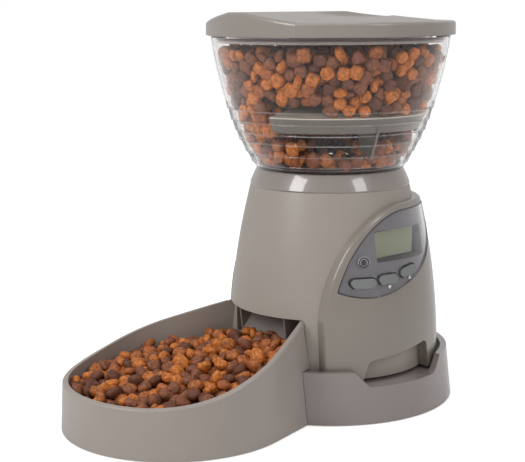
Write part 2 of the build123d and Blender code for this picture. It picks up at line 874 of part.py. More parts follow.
# ---------------------------------------------------------------- portion cup, wheel and drive
screw_clearance = 0.05
bush_radius = 6.0
bush_flange_radius = 8.0
bush_flange = 1.5
cup_radius = spigot_radius - hopper_wall - cup_gap - cup_wall
cup_top = cup_floor_height + cup_depth
hub_boss_bottom = cup_floor_height - 7.0
hub_boss_radius = bush_flange_radius + 1.0
axle_boss_bottom = cup_floor_height - 8.0
boss_radius = 4.0
rotor_bottom = cup_floor_height + cup_floor + 1.0
rotor_top = cup_top - 2.5
idler_offset = gear_module * (output_teeth + pinion_teeth) / 2
motor_offset = gear_module * (idler_teeth + pinion_teeth) / 2
idler_center = (0, idler_offset)
motor_center = (motor_offset, idler_offset)
tooth_tip = 0.9 * gear_module
output_gear_tip = gear_module * output_teeth / 2 + tooth_tip
idler_tip = gear_module * idler_teeth / 2 + tooth_tip
output_gear_bottom = hub_boss_bottom - bush_flange - gear_gap - gear_thickness
idler_wheel_thickness = 5.5
idler_wheel_bottom = output_gear_bottom - gear_gap - idler_wheel_thickness
shaft_bottom = idler_wheel_bottom + idler_wheel_thickness + 0.5
gear_plate_thickness = 3.0
gear_plate_top = idler_wheel_bottom - 2.0
gear_plate_bottom = gear_plate_top - gear_plate_thickness
gear_plate_places = [
    *[
        (idler_center[0] + (idler_tip + boss_radius + 5) * cos(radians(angle)),
         idler_center[1] + (idler_tip + boss_radius + 5) * sin(radians(angle)))
        for angle in (160, 222, 46.5)
    ],
    (motor_center[0] + motor_radius, motor_center[1] - 2 * motor_radius),
]
pinion_overlap = 1.0
motor_boss_radius = 4.0
motor_boss_height = 1.5
motor_shaft_radius = 1.0
port_outer = cup_radius - port_rim
chute_top_back = output_gear_tip + 0.85 + chute_wall
port_inner = chute_top_back + 0.8
chute_flange = 2.5
chute_flange_top = cup_floor_height - 0.3
chute_screw_x = chute_half_width + chute_wall + screw_head_radius + 0.4
chute_screw_y = -(port_inner + port_outer) / 2
chute_screw_places = [(-chute_screw_x, chute_screw_y), (chute_screw_x, chute_screw_y)]
cup_screw_places = around(cup_screw_circle, cup_screw_angles)
base_screw_places = around(base_screw_circle, base_screw_angles)


def gear_outline(height, center, teeth, first_tooth):
    """Straight-flanked spur gear teeth in a level plane, with the first tooth at an angle."""
    pitch = gear_module * teeth / 2
    tip = pitch + tooth_tip
    root = pitch - 1.15 * gear_module
    half_tooth = pi * gear_module / 4 - 0.22
    lean = tan(radians(22))
    corners = []
    for tooth in range(teeth):
        middle = radians(first_tooth + 360 * tooth / teeth)
        for radius, sign in ((root, -1), (tip, -1), (tip, 1), (root, 1)):
            half = (half_tooth - (radius - pitch) * lean) / radius
            corners.append(
                (center[0] + radius * cos(middle + sign * half), center[1] + radius * sin(middle + sign * half))
            )
    with BuildSketch(ground.offset(height)) as outline:
        with BuildLine():
            Polyline(*corners, close=True)
        make_face()
    return outline.sketch


with BuildPart() as portion_cup:
    with BuildSketch(ground.offset(cup_floor_height)):
        Circle(cup_screw_circle + 2.5)
    extrude(amount=cup_floor)
    revolve(ring(cup_radius, cup_radius + cup_wall, cup_floor_height + 1, cup_top), axis=tower_axis)
    extrude(discs(hub_boss_bottom, hub_boss_radius, [(0, 0)]), amount=cup_floor_height - hub_boss_bottom + 0.5)
    extrude(discs(axle_boss_bottom, boss_radius, [(0, idler_offset)]), amount=cup_floor_height - axle_boss_bottom + 0.5)
    extrude(discs(gear_plate_top, boss_radius, gear_plate_places), amount=cup_floor_height - gear_plate_top + 0.5)
    extrude(discs(hub_boss_bottom - 1, bush_radius + screw_clearance, [(0, 0)]), amount=20, mode=Mode.SUBTRACT)
    extrude(
        discs(axle_boss_bottom - 1, axle_radius + pilot_clearance, [(0, idler_offset)]),
        amount=7.5, mode=Mode.SUBTRACT,
    )
    extrude(
        discs(gear_plate_top - 1, screw_radius + pilot_clearance, gear_plate_places), amount=9, mode=Mode.SUBTRACT
    )
    extrude(
        discs(cup_floor_height - 1, screw_radius + screw_clearance, cup_screw_places), amount=6, mode=Mode.SUBTRACT
    )
    extrude(
        discs(cup_floor_height - 1, screw_radius + pilot_clearance, chute_screw_places), amount=6, mode=Mode.SUBTRACT
    )
    extrude(sector(cup_floor_height - 1, 270, port_half_angle, port_outer, port_inner), amount=6, mode=Mode.SUBTRACT)
portion_cup.part.label = "portion_cup"
export_step(portion_cup.part, "parts/portion_cup.step")
screws_from_below("cup_screws", cup_screw_places, cup_floor_height, ledge_low + 0.5)

with BuildPart() as rotor:
    extrude(discs(rotor_bottom, hub_radius, [(0, 0)]), amount=rotor_top - rotor_bottom)
    with BuildSketch(ground.offset(rotor_bottom)):
        for vane in range(rotor_vanes):
            with Locations(Location((0, 0, 0), (0, 0, 360 * vane / rotor_vanes))):
                with Locations(((cup_radius - rotor_clearance + hub_radius - 1) / 2, 0)):
                    Rectangle(cup_radius - rotor_clearance - hub_radius + 1, vane_thickness)
    extrude(amount=rotor_top - rotor_bottom)
    extrude(
        discs(rotor_bottom - 1, shaft_radius + 0.02, [(0, 0)]), amount=rotor_top - rotor_bottom - 1.5, mode=Mode.SUBTRACT
    )
rotor.part.label = "rotor"
export_step(rotor.part, "parts/rotor.step")

with BuildPart() as rotor_shaft:
    extrude(discs(shaft_bottom, shaft_radius, [(0, 0)]), amount=rotor_top - 2.6 - shaft_bottom)
rotor_shaft.part.label = "rotor_shaft"
export_step(rotor_shaft.part, "parts/rotor_shaft.step")

with BuildPart() as shaft_bush:
    extrude(discs(hub_boss_bottom, bush_radius, [(0, 0)]), amount=rotor_bottom - 0.7 - hub_boss_bottom)
    extrude(discs(hub_boss_bottom - bush_flange, bush_flange_radius, [(0, 0)]), amount=bush_flange)
    extrude(discs(hub_boss_bottom - 2, shaft_radius + running_clearance, [(0, 0)]), amount=20, mode=Mode.SUBTRACT)
shaft_bush.part.label = "shaft_bush"
export_step(shaft_bush.part, "parts/shaft_bush.step")

with BuildPart() as drive_gear:
    extrude(gear_outline(output_gear_bottom, (0, 0), output_teeth, 90 - 180 / output_teeth), amount=gear_thickness)
    extrude(discs(output_gear_bottom - 1, shaft_radius + 0.02, [(0, 0)]), amount=20, mode=Mode.SUBTRACT)
drive_gear.part.label = "drive_gear"
export_step(drive_gear.part, "parts/drive_gear.step")

with BuildPart() as idler_gear:
    extrude(gear_outline(idler_wheel_bottom, idler_center, idler_teeth, 0), amount=idler_wheel_thickness)
    extrude(discs(idler_wheel_bottom + 1, gear_module * 3.5, [idler_center]), amount=output_gear_bottom - idler_wheel_bottom)
    extrude(
        gear_outline(output_gear_bottom - pinion_overlap, idler_center, pinion_teeth, 270),
        amount=gear_thickness + 2 * pinion_overlap,
    )
    extrude(
        discs(idler_wheel_bottom - 1, axle_radius + running_clearance, [idler_center]), amount=20, mode=Mode.SUBTRACT
    )
idler_gear.part.label = "idler_gear"
export_step(idler_gear.part, "parts/idler_gear.step")

with BuildPart() as idler_axle:
    extrude(discs(gear_plate_bottom, axle_radius, [idler_center]), amount=axle_boss_bottom + 6 - gear_plate_bottom)
idler_axle.part.label = "idler_axle"
export_step(idler_axle.part, "parts/idler_axle.step")

with BuildPart() as motor_pinion:
    extrude(
        gear_outline(idler_wheel_bottom - 0.5, motor_center, pinion_teeth, 180 - 180 / pinion_teeth),
        amount=idler_wheel_thickness + 1,
    )
    extrude(
        discs(gear_plate_bottom + motor_boss_height + 0.2, motor_shaft_radius, [motor_center]),
        amount=idler_wheel_bottom + idler_wheel_thickness - gear_plate_bottom - 1,
    )
motor_pinion.part.label = "motor_pinion"
export_step(motor_pinion.part, "parts/motor_pinion.step")

with BuildPart() as gear_motor:
    extrude(discs(gear_plate_bottom - motor_length, motor_radius, [motor_center]), amount=motor_length)
    chamfer(gear_motor.edges().filter_by(GeomType.CIRCLE), 1)
    extrude(discs(gear_plate_bottom - 1, motor_boss_radius, [motor_center]), amount=motor_boss_height + 1)
    extrude(discs(gear_plate_bottom - motor_length - 3, 5, [motor_center]), amount=4)
gear_motor.part.label = "gear_motor"
export_step(gear_motor.part, "parts/gear_motor.step")

with BuildPart() as gear_plate:
    with BuildSketch(ground.offset(gear_plate_bottom)):
        with Locations(*gear_plate_places):
            Circle(boss_radius + 3)
        make_hull()
        with Locations(*gear_plate_places):
            Circle(screw_radius + screw_clearance, mode=Mode.SUBTRACT)
        with Locations(motor_center):
            Circle(motor_boss_radius + 0.1, mode=Mode.SUBTRACT)
        with Locations(idler_center):
            Circle(axle_radius + pilot_clearance, mode=Mode.SUBTRACT)
    extrude(amount=gear_plate_thickness)
gear_plate.part.label = "gear_plate"
export_step(gear_plate.part, "parts/gear_plate.step")
screws_from_below("gear_plate_screws", gear_plate_places, gear_plate_bottom, gear_plate_top + 7)

chute_bend = cup_floor_height - 24.0
chute_front_bottom = mouth_height + 4.5
chute_back_bottom = bowl_rear_wall + 4.0


def chute_front(height):
    """Y of the chute's front face, just inside the housing's wall at a height."""
    room = housing_line.radius(height, housing_wall) - chute_gap
    return chute_wall - sqrt(room**2 - (chute_half_width + chute_wall) ** 2)


chute_end_y = chute_front(chute_front_bottom)
chute_front_line = [
    (-port_outer - 4, cup_floor_height),
    (chute_front(chute_bend), chute_bend),
    (chute_front((chute_bend + chute_front_bottom) / 2), (chute_bend + chute_front_bottom) / 2),
    (chute_end_y, chute_front_bottom),
]
chute_back_line = [
    (-chute_top_back, cup_floor_height),
    (-chute_top_back, chute_bend + 5),
    (chute_end_y + 36, chute_back_bottom + 46),
    (chute_end_y, chute_back_bottom),
]


def chute_column(margin, half_width):
    """Sloping duct between the chute's front and back lines, widened by a margin."""
    with BuildPart() as column:
        with BuildSketch(side):
            with BuildLine():
                Polyline(
                    *[(y - margin, z) for y, z in chute_front_line],
                    *[(y + margin, z) for y, z in reversed(chute_back_line)],
                    close=True,
                )
            make_face()
        extrude(amount=half_width, both=True)
    return column.part


with BuildPart() as chute:
    add(chute_column(chute_wall, chute_half_width + chute_wall))
    split(bisect_by=Plane((0, 0, chute_flange_top)), keep=Keep.BOTTOM)
    with BuildPart(mode=Mode.PRIVATE) as flange:
        with BuildSketch(ground.offset(chute_flange_top - chute_flange)):
            with Locations((0, chute_screw_y)):
                Rectangle(2 * (chute_screw_x + screw_head_radius) + 6, port_outer - port_inner + 14)
            Circle(cup_screw_circle + 2.5, mode=Mode.INTERSECT)
            with Locations(*cup_screw_places):
                Circle(screw_head_radius + 1.5, mode=Mode.SUBTRACT)
        extrude(amount=chute_flange)
    add(flange.part)
    with BuildPart(mode=Mode.PRIVATE) as duct:
        add(chute_column(0, chute_half_width))
        with BuildSketch(side):
            with BuildLine():
                Polyline(
                    chute_front_line[-1],
                    (chute_end_y - 10, chute_front_bottom - 6),
                    (chute_end_y - 10, chute_back_bottom - 14),
                    chute_back_line[-1],
                    (chute_end_y + 10, (chute_front_bottom + chute_back_bottom) / 2),
                    close=True,
                )
            make_face()
        extrude(amount=chute_half_width, both=True)
    add(duct.part, mode=Mode.SUBTRACT)
    extrude(
        discs(chute_flange_top - chute_flange - 1, screw_radius + screw_clearance, chute_screw_places),
        amount=6, mode=Mode.SUBTRACT,
    )
chute.part.label = "chute"
export_step(chute.part, "parts/chute.step")
screws_from_below("chute_screws", chute_screw_places, chute_flange_top - chute_flange, cup_floor_height + cup_floor - 0.3)

# ---------------------------------------------------------------- base plate and batteries
cell_pitch = 2 * (cell_radius + cell_clearance) + 0.1
cell_bottom = base_plate_top + 2.15
cell_nub_radius = 4.75
cell_nub_height = 1.8
box_roof = cell_bottom + cell_length + 0.9
box_half_length = cell_pitch + cell_radius + cell_clearance
box_half_depth = cell_radius + cell_clearance
box_corner = housing_line.radius(box_roof + battery_wall, housing_wall) - battery_gap
cell_row_y = sqrt(box_corner**2 - (box_half_length + battery_wall) ** 2) - box_half_depth - battery_wall
cell_places = [(-cell_pitch, cell_row_y), (0, cell_row_y), (cell_pitch, cell_row_y)]
cover_thickness = base_plate_thickness - 0.45
cover_tab = 8.0
cover_gap = 0.3
cover_screw_places = [(-box_half_length - battery_wall - 4, cell_row_y), (box_half_length + battery_wall + 4, cell_row_y)]
base_plate_radius = housing_line.radius(tower_foot, housing_wall + 0.3)
mouth_cut_half_width = mouth_half_width + 6.0
mouth_cut_y = bowl_back + 6.0


def cover_outline(height, margin):
    """Battery cover seen from below: the box's opening with a screw tab at either end."""
    with BuildSketch(ground.offset(height)) as outline:
        with Locations((0, cell_row_y)):
            RectangleRounded(2 * (box_half_length + margin), 2 * (box_half_depth + margin), 3)
            RectangleRounded(2 * (box_half_length + battery_wall + cover_tab + margin), 16 + 2 * margin, 3)
    return outline.sketch


with BuildPart() as base_plate:
    with BuildSketch(ground.offset(tower_foot)):
        Circle(base_plate_radius)
        with Locations((0, mouth_cut_y)):
            Rectangle(
                2 * mouth_cut_half_width, base_plate_radius,
                align=(Align.CENTER, Align.MAX), mode=Mode.SUBTRACT,
            )
    extrude(amount=base_plate_thickness)
    with BuildPart(mode=Mode.PRIVATE) as grip_gap:
        extrude(grip_outline(grip_wall + 0.3), amount=jacket_foot_radius + 10, both=True)
        revolve(
            ring(grip_inner - grip_wall - 0.3, jacket_foot_radius, tower_foot - 5, grip_height + 12),
            axis=tower_axis, mode=Mode.INTERSECT,
        )
    add(grip_gap.part, mode=Mode.SUBTRACT)
    with BuildSketch(ground.offset(base_plate_top - 0.5)):
        with Locations((0, cell_row_y)):
            Rectangle(2 * (box_half_length + battery_wall), 2 * (box_half_depth + battery_wall))
    extrude(amount=box_roof + battery_wall - base_plate_top + 0.5)
    with BuildSketch(ground.offset(tower_foot - 1)):
        with Locations((0, cell_row_y)):
            Rectangle(2 * box_half_length, 2 * box_half_depth)
    extrude(amount=box_roof - tower_foot + 1, mode=Mode.SUBTRACT)
    extrude(discs(base_plate_top, boss_radius + 0.5, cover_screw_places), amount=12)
    extrude(cover_outline(tower_foot - 1, cover_gap), amount=base_plate_thickness + 0.85, mode=Mode.SUBTRACT)
    extrude(
        discs(base_plate_top - 1, screw_radius + pilot_clearance, cover_screw_places), amount=10, mode=Mode.SUBTRACT
    )
    extrude(discs(tower_foot - 1, screw_radius + screw_clearance, base_screw_places), amount=5, mode=Mode.SUBTRACT)
base_plate.part.label = "base_plate"
export_step(base_plate.part, "parts/base_plate.step")
screws_from_below("base_screws", base_screw_places, tower_foot, base_plate_top + 8)

with BuildPart() as battery_cover:
    extrude(cover_outline(tower_foot, 0), amount=cover_thickness)
    extrude(
        discs(tower_foot - 1, screw_radius + screw_clearance, cover_screw_places), amount=5, mode=Mode.SUBTRACT
    )
battery_cover.part.label = "battery_cover"
export_step(battery_cover.part, "parts/battery_cover.step")
screws_from_below("cover_screws", cover_screw_places, tower_foot, base_plate_top + 7)

with BuildPart() as d_cells:
    extrude(discs(cell_bottom, cell_radius, cell_places), amount=cell_length - cell_nub_height)
    chamfer(d_cells.edges().filter_by(GeomType.CIRCLE), 0.8)
    extrude(discs(cell_bottom + cell_length - cell_nub_height - 0.5, cell_nub_radius, cell_places), amount=cell_nub_height + 0.5)
d_cells.part.label = "d_cells"
export_step(d_cells.part, "parts/d_cells.step")

with BuildPart() as battery_contacts:
    with BuildSketch(ground.offset(box_roof - 0.8)):
        with Locations(*cell_places):
            Rectangle(18, 14)
    extrude(amount=0.78)
    with BuildSketch(ground.offset(tower_foot + cover_thickness + 0.02)):
        with Locations(*cell_places):
            Rectangle(20, 20)
    extrude(amount=0.5)
    extrude(discs(tower_foot + cover_thickness + 0.3, 7, cell_places), amount=cell_bottom - tower_foot - cover_thickness - 0.35, taper=15)
battery_contacts.part.label = "battery_contacts"
export_step(battery_contacts.part, "parts/battery_contacts.step")

# ---------------------------------------------------------------- control panel
display_center = (display_place[0], jacket_top_height - display_place[1])
led_center = (led_place[0], jacket_top_height - led_place[1])
buttons = {
    name: ((center[0], jacket_top_height - center[1]), length, width, tilt)
    for name, (center, length, width, tilt) in button_row.items()
}
board_back = jacket_line.radius(display_center[1]) - board_depth
board_front = board_back + board_thickness
lens_back = lens_thickness + 0.3
backing_front = jacket_skin + 0.1
backing_back = backing_front + backing_thickness
cap_travel_gap = 0.3
flange_thickness = 1.2
button_stem_end = board_front + 5.0
button_stem_radius = 2.0
switch_body = (6.0, 6.0)
switch_height = 3.5
switch_plunger_radius = 1.7
switch_plunger_top = board_front + 4.0
lcd_thickness = 2.8
lcd_inset = 11.9
lcd_margin = 0.3
lcd_front = jacket_line.radius(display_center[1], lcd_inset)
lcd_turn = asin(display_center[0] / jacket_line.radius(display_center[1]))
lcd_shift = (display_center[0] - lcd_front * sin(lcd_turn)) / cos(lcd_turn)
led_tip_inset = 4.0
post_radius = 2.4
display_low = display_center[1] - display_height / 2
display_high = display_center[1] + display_height / 2
down_center, _, down_width, _ = buttons["down_button"]
post_places = [
    (display_center[0] - display_width / 2 - 8.0, display_center[1] + 3.0),
    (display_center[0] + 18.0, display_low - 6.0),
    (down_center[0] + 2.5, down_center[1] - down_width / 2 - 1.4 - post_radius - 0.75),
    (display_center[0] - 6.0, display_high + 5.5),
]
board_low = post_places[2][1] - 4.5
board_corners = [
    (led_center[0] - 8.8, board_low),
    (post_places[1][0] - 2.0, board_low + 2.0),
    (post_places[1][0] + 6.0, board_low + 15.0),
    (post_places[1][0] + 6.0, display_high + 1.0),
    (post_places[3][0] + 14.0, display_high + 9.0),
    (post_places[3][0] - 14.0, display_high + 9.0),
    (post_places[0][0] + 3.0, display_high - 3.0),
    (led_center[0] - 4.8, display_low + 7.0),
]


def shell(outer, inner):
    """Slice of the +X side between two insets from the jacket's surface."""
    with BuildPart() as slice_:
        revolve(jacket_line.band(tower_foot + 20, jacket_top_height, outer, inner), axis=tower_axis)
        split(bisect_by=Plane((panel_root, 0, 0), z_dir=(1, 0, 0)))
    return slice_.part


def slot(center, length, width, tilt, margin=0.0):
    """Button outline in the side view: a rounded bar, tilted and widened by a margin."""
    with BuildSketch(side) as outline:
        with Locations(Location((center[0], center[1], 0), (0, 0, tilt))):
            SlotOverall(length + 2 * margin, width + 2 * margin)
    return outline.sketch


def spots(radius, places, offset=0.0):
    """Discs in the side view, at a distance from the tower's middle."""
    with BuildSketch(side.offset(offset)) as faces:
        with Locations(*places):
            Circle(radius)
    return faces.sketch


def display_frame(width, height):
    """Rectangle in the side view around the display's middle."""
    with BuildSketch(side) as face:
        with Locations(display_center):
            RectangleRounded(width, height, 1)
    return face.sketch


with BuildPart() as panel_lens:
    add(shell(-0.1, lens_back))
    add(panel_block(-lens_clearance), mode=Mode.INTERSECT)
    for center, length, width, tilt in buttons.values():
        extrude(slot(center, length, width, tilt, button_clearance), amount=jacket_foot_radius + 5, mode=Mode.SUBTRACT)
    extrude(spots(led_radius + 0.15, [led_center]), amount=jacket_foot_radius + 5, mode=Mode.SUBTRACT)
panel_lens.part.label = "panel_lens"
export_step(panel_lens.part, "parts/panel_lens.step")

with BuildPart() as panel_backing:
    add(shell(backing_front, backing_back))
    add(panel_block(backing_margin), mode=Mode.INTERSECT)
    with BuildPart(mode=Mode.PRIVATE) as posts:
        extrude(spots(post_radius, post_places, board_front + 0.02), amount=30)
        revolve(jacket_line.core(tower_foot + 20, jacket_top_height, backing_front + 0.5), axis=tower_axis, mode=Mode.INTERSECT)
    add(posts.part)
    extrude(spots(screw_radius + pilot_clearance, post_places, board_front - 1), amount=7, mode=Mode.SUBTRACT)
    extrude(display_frame(display_width, display_height), amount=jacket_foot_radius + 5, mode=Mode.SUBTRACT)
    for center, length, width, tilt in buttons.values():
        extrude(slot(center, length, width, tilt, button_clearance), amount=jacket_foot_radius + 5, mode=Mode.SUBTRACT)
    extrude(spots(led_radius + 0.15, [led_center]), amount=jacket_foot_radius + 5, mode=Mode.SUBTRACT)
panel_backing.part.label = "panel_backing"
export_step(panel_backing.part, "parts/panel_backing.step")

with BuildPart() as display_bezel:
    extrude(display_frame(display_width + 2 * display_wall, display_height + 2 * display_wall), amount=jacket_foot_radius)
    revolve(jacket_line.core(tower_foot + 20, jacket_top_height, backing_back + 0.03), axis=tower_axis, mode=Mode.INTERSECT)
    split(bisect_by=Plane((board_front + 0.02, 0, 0), z_dir=(1, 0, 0)))
    extrude(display_frame(display_width, display_height), amount=jacket_foot_radius + 5, mode=Mode.SUBTRACT)
display_bezel.part.label = "display_bezel"
export_step(display_bezel.part, "parts/display_bezel.step")

with BuildPart() as lcd_module:
    lcd_plane = Plane(
        origin=(0, tower_y, display_center[1]),
        x_dir=(-sin(lcd_turn), cos(lcd_turn), 0),
        z_dir=(cos(lcd_turn), sin(lcd_turn), 0),
    ).offset(lcd_front - lcd_thickness)
    with BuildSketch(lcd_plane):
        with Locations((lcd_shift, 0)):
            Rectangle(display_width - 2 * lcd_margin, display_height - 2 * lcd_margin)
    extrude(amount=lcd_thickness)
    with BuildSketch(side.offset(board_front + 0.02)):
        with Locations(display_center):
            with GridLocations(0, display_height - 6, 1, 2):
                Rectangle(10, 3)
    extrude(amount=lcd_front * cos(lcd_turn) - lcd_thickness / 2 - board_front)
lcd_module.part.label = "lcd_module"
export_step(lcd_module.part, "parts/lcd_module.step")

with BuildPart() as status_led:
    extrude(spots(led_radius, [led_center]), amount=jacket_foot_radius)
    revolve(jacket_line.core(tower_foot + 20, jacket_top_height, 0.6), axis=tower_axis, mode=Mode.INTERSECT)
    split(bisect_by=Plane((board_front + 0.02, 0, 0), z_dir=(1, 0, 0)))
    extrude(spots(led_radius + 1.2, [led_center], board_front + 0.02), amount=3)
status_led.part.label = "status_led"
export_step(status_led.part, "parts/status_led.step")

with BuildPart() as control_board:
    with BuildSketch(side.offset(board_back)):
        with BuildLine():
            Polyline(*board_corners, close=True)
        make_face()
        with Locations(*post_places):
            Circle(screw_radius + screw_clearance, mode=Mode.SUBTRACT)
    extrude(amount=board_thickness)
control_board.part.label = "control_board"
export_step(control_board.part, "parts/control_board.step")

with BuildPart() as board_screws:
    extrude(spots(screw_head_radius, post_places, board_back - screw_head_height), amount=screw_head_height)
    extrude(spots(screw_radius, post_places, board_back - 0.2), amount=board_thickness + 5)
board_screws.part.label = "board_screws"
export_step(board_screws.part, "parts/board_screws.step")

with BuildPart() as key_switches:
    with BuildSketch(side.offset(board_front + 0.02)):
        with Locations(*[center for center, *_ in buttons.values()]):
            Rectangle(*switch_body)
    extrude(amount=switch_height)
    extrude(spots(switch_plunger_radius, [center for center, *_ in buttons.values()], board_front + 1), amount=switch_plunger_top - board_front - 1)
key_switches.part.label = "key_switches"
export_step(key_switches.part, "parts/key_switches.step")

for name, (center, length, width, tilt) in buttons.items():
    with BuildPart() as button:
        extrude(slot(center, length, width, tilt), amount=jacket_foot_radius + 5)
        revolve(
            jacket_line.band(
                tower_foot + 20, jacket_top_height, -button_proud, backing_back + cap_travel_gap + flange_thickness
            ),
            axis=tower_axis, mode=Mode.INTERSECT,
        )
        with BuildPart(mode=Mode.PRIVATE) as flange:
            extrude(slot(center, length, width, tilt, 1.4), amount=jacket_foot_radius + 5)
            revolve(
                jacket_line.band(
                    tower_foot + 20, jacket_top_height,
                    backing_back + cap_travel_gap, backing_back + cap_travel_gap + flange_thickness,
                ),
                axis=tower_axis, mode=Mode.INTERSECT,
            )
        add(flange.part)
        with BuildPart(mode=Mode.PRIVATE) as stem:
            extrude(spots(button_stem_radius, [center], button_stem_end), amount=30)
            revolve(
                jacket_line.core(tower_foot + 20, jacket_top_height, backing_back + cap_travel_gap + 0.4),
                axis=tower_axis, mode=Mode.INTERSECT,
            )
        add(stem.part)
    button.part.label = name
    export_step(button.part, f"parts/{name}.step")

# ---------------------------------------------------------------- bowl
bowl_top = ramp_top + 4.0
bowl_underside = bowl_floor - 3.0
bowl_shelf = tray_rim_height + bowl_seam_gap
bowl_seam_y = -tray_front - bowl_seam_gap
bowl_rear_half_width = mouth_half_width - 8.2
bowl_fillet_radius = 246.0
bowl_foot_radius = 6.0
bowl_foot_height = 3.0
bowl_foot_places = [
    (sign * reach * cos(radians(angle)), bowl_center_y + reach * sin(radians(angle)))
    for reach, angle in ((bowl_radius - 26.6, 19.4), (bowl_radius - 15.1, -57.7))
    for sign in (-1, 1)
]
bowl_foot_places += [(sign * (bowl_neck_half_width - 29.4), bowl_seam_y - 15.0) for sign in (-1, 1)]
tongue_gap = 1.0


def bowl_outline(height, radius, neck, neck_y, inset):
    """Teardrop outline: an arc about the bowl's middle with straight flanks to the neck."""
    reach = radius - inset
    away = neck_y - bowl_center_y
    distance = hypot(neck - inset, away)
    angle = atan2(away, neck - inset) - acos(reach / distance)
    touch = (reach * cos(angle), bowl_center_y + reach * sin(angle))
    slope = (neck - inset - touch[0]) / (neck_y - touch[1])
    back = bowl_back - inset
    end = (touch[0] + slope * (back - touch[1]), back)
    with BuildSketch(ground.offset(height)) as outline:
        with BuildLine():
            Line((-end[0], end[1]), (-touch[0], touch[1]))
            ThreePointArc((-touch[0], touch[1]), (0, bowl_center_y - reach), touch)
            Line(touch, end)
            Line(end, (-end[0], end[1]))
        make_face()
    return outline.sketch


def bowl_block(bottom, inset=0.0):
    """Tapering body of the bowl above a height, drawn in by an inset."""
    def at(height):
        part = height / bowl_top
        return bowl_outline(
            height,
            bowl_radius + (bowl_rim_radius - bowl_radius) * part,
            bowl_neck_half_width + (bowl_neck_top_half_width - bowl_neck_half_width) * part,
            bowl_seam_y + (bowl_rise_y - bowl_seam_y) * part,
            inset,
        )

    with BuildPart() as block:
        loft([at(bottom), at(bowl_top)], ruled=True)
    return block.part


with BuildPart() as bowl_rim_column:
    with BuildSketch(side):
        with BuildLine():
            FilletPolyline(
                (-bowl_reach - 20, bowl_front_height), (ramp_foot_y, bowl_front_height), (bowl_rise_y, ramp_top),
                radius=bowl_fillet_radius,
            )
            Polyline(
                (bowl_rise_y, ramp_top), (bowl_back + 5, ramp_top), (bowl_back + 5, bowl_shelf),
                (bowl_seam_y, bowl_shelf), (bowl_seam_y, -5), (-bowl_reach - 20, -5),
                (-bowl_reach - 20, bowl_front_height),
            )
        make_face()
    extrude(amount=bowl_radius + 10, both=True)

with BuildPart() as tower_keepout:
    with BuildSketch(ground.offset(tower_foot - 2)):
        Circle(housing_foot_radius + bowl_lift_gap)
        Rectangle(
            3 * housing_foot_radius, 2 * housing_foot_radius,
            align=(Align.CENTER, Align.MIN), mode=Mode.SUBTRACT,
        )
    extrude(amount=bowl_top)
    extrude(mouth_outline(-bowl_seam_gap), amount=housing_foot_radius + 10, mode=Mode.SUBTRACT)


def on_rim(edge):
    """Whether an edge runs along the bowl's sloping rim, short of its rear end."""
    middle = edge.position_at(0.5)
    y = middle.Y - tower_y
    return y < bowl_rise_y and middle.Z > bowl_front_height + bowl_rise * max(0, y - ramp_foot_y) - 2


with BuildPart() as bowl:
    add(bowl_block(tray_floor_gap))
    add(bowl_rim_column.part, mode=Mode.INTERSECT)
    fillet(bowl.edges().filter_by(GeomType.LINE, reverse=True).filter_by(on_rim), bowl_rim_fillet)
    with BuildPart(mode=Mode.PRIVATE) as basin:
        add(bowl_block(bowl_floor, bowl_wall))
        with BuildSketch(ground.offset(bowl_floor - 1)):
            with Locations((0, bowl_seam_y - bowl_wall)):
                Rectangle(2 * bowl_radius, bowl_radius, align=(Align.CENTER, Align.MIN))
        extrude(amount=bowl_shelf + bowl_wall - bowl_floor + 1, mode=Mode.SUBTRACT)
    add(basin.part, mode=Mode.SUBTRACT)
    with BuildPart(mode=Mode.PRIVATE) as underside:
        add(bowl_block(-5.0, bowl_wall))
        split(bisect_by=Plane((0, 0, bowl_underside)), keep=Keep.BOTTOM)
        split(bisect_by=Plane((0, tower_y + bowl_seam_y - bowl_wall, 0), z_dir=(0, -1, 0)))
    add(underside.part, mode=Mode.SUBTRACT)
    with BuildSketch(ground.offset(-1)):
        with Locations((0, bowl_seam_y)):
            Rectangle(2 * (tongue_half_width + tongue_gap), 4 * bowl_wall)
    extrude(amount=tongue_bottom + tongue_thickness + tongue_gap + 1, mode=Mode.SUBTRACT)
    extrude(discs(rubber_foot_depth, bowl_foot_radius + 2, bowl_foot_places), amount=bowl_underside - rubber_foot_depth + 0.5)
    extrude(discs(-1, bowl_foot_radius + 0.1, bowl_foot_places), amount=bowl_foot_height + 1, mode=Mode.SUBTRACT)
    with BuildSketch(ground.offset(bowl_rear_wall)):
        with Locations((0, bowl_back)):
            Rectangle(2 * bowl_rear_half_width, 20)
    extrude(amount=50, mode=Mode.SUBTRACT)
    add(tower_keepout.part, mode=Mode.SUBTRACT)
bowl.part.label = "bowl"
export_step(bowl.part, "parts/bowl.step")

with BuildPart() as bowl_feet:
    extrude(discs(0, bowl_foot_radius, bowl_foot_places), amount=bowl_foot_height)
bowl_feet.part.label = "bowl_feet"
export_step(bowl_feet.part, "parts/bowl_feet.step")
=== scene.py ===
"""Finished look of a programmable pet feeder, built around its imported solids.

Everything is in metres, +Z up. The bowl points to -Y and the control panel faces +X.
"""

from __future__ import annotations

import json
import logging
import math
from dataclasses import dataclass, field
from enum import Enum
from typing import Callable, Sequence

import bmesh
import bpy
import numpy as np
from mathutils import Matrix, Vector
from mathutils.bvhtree import BVHTree

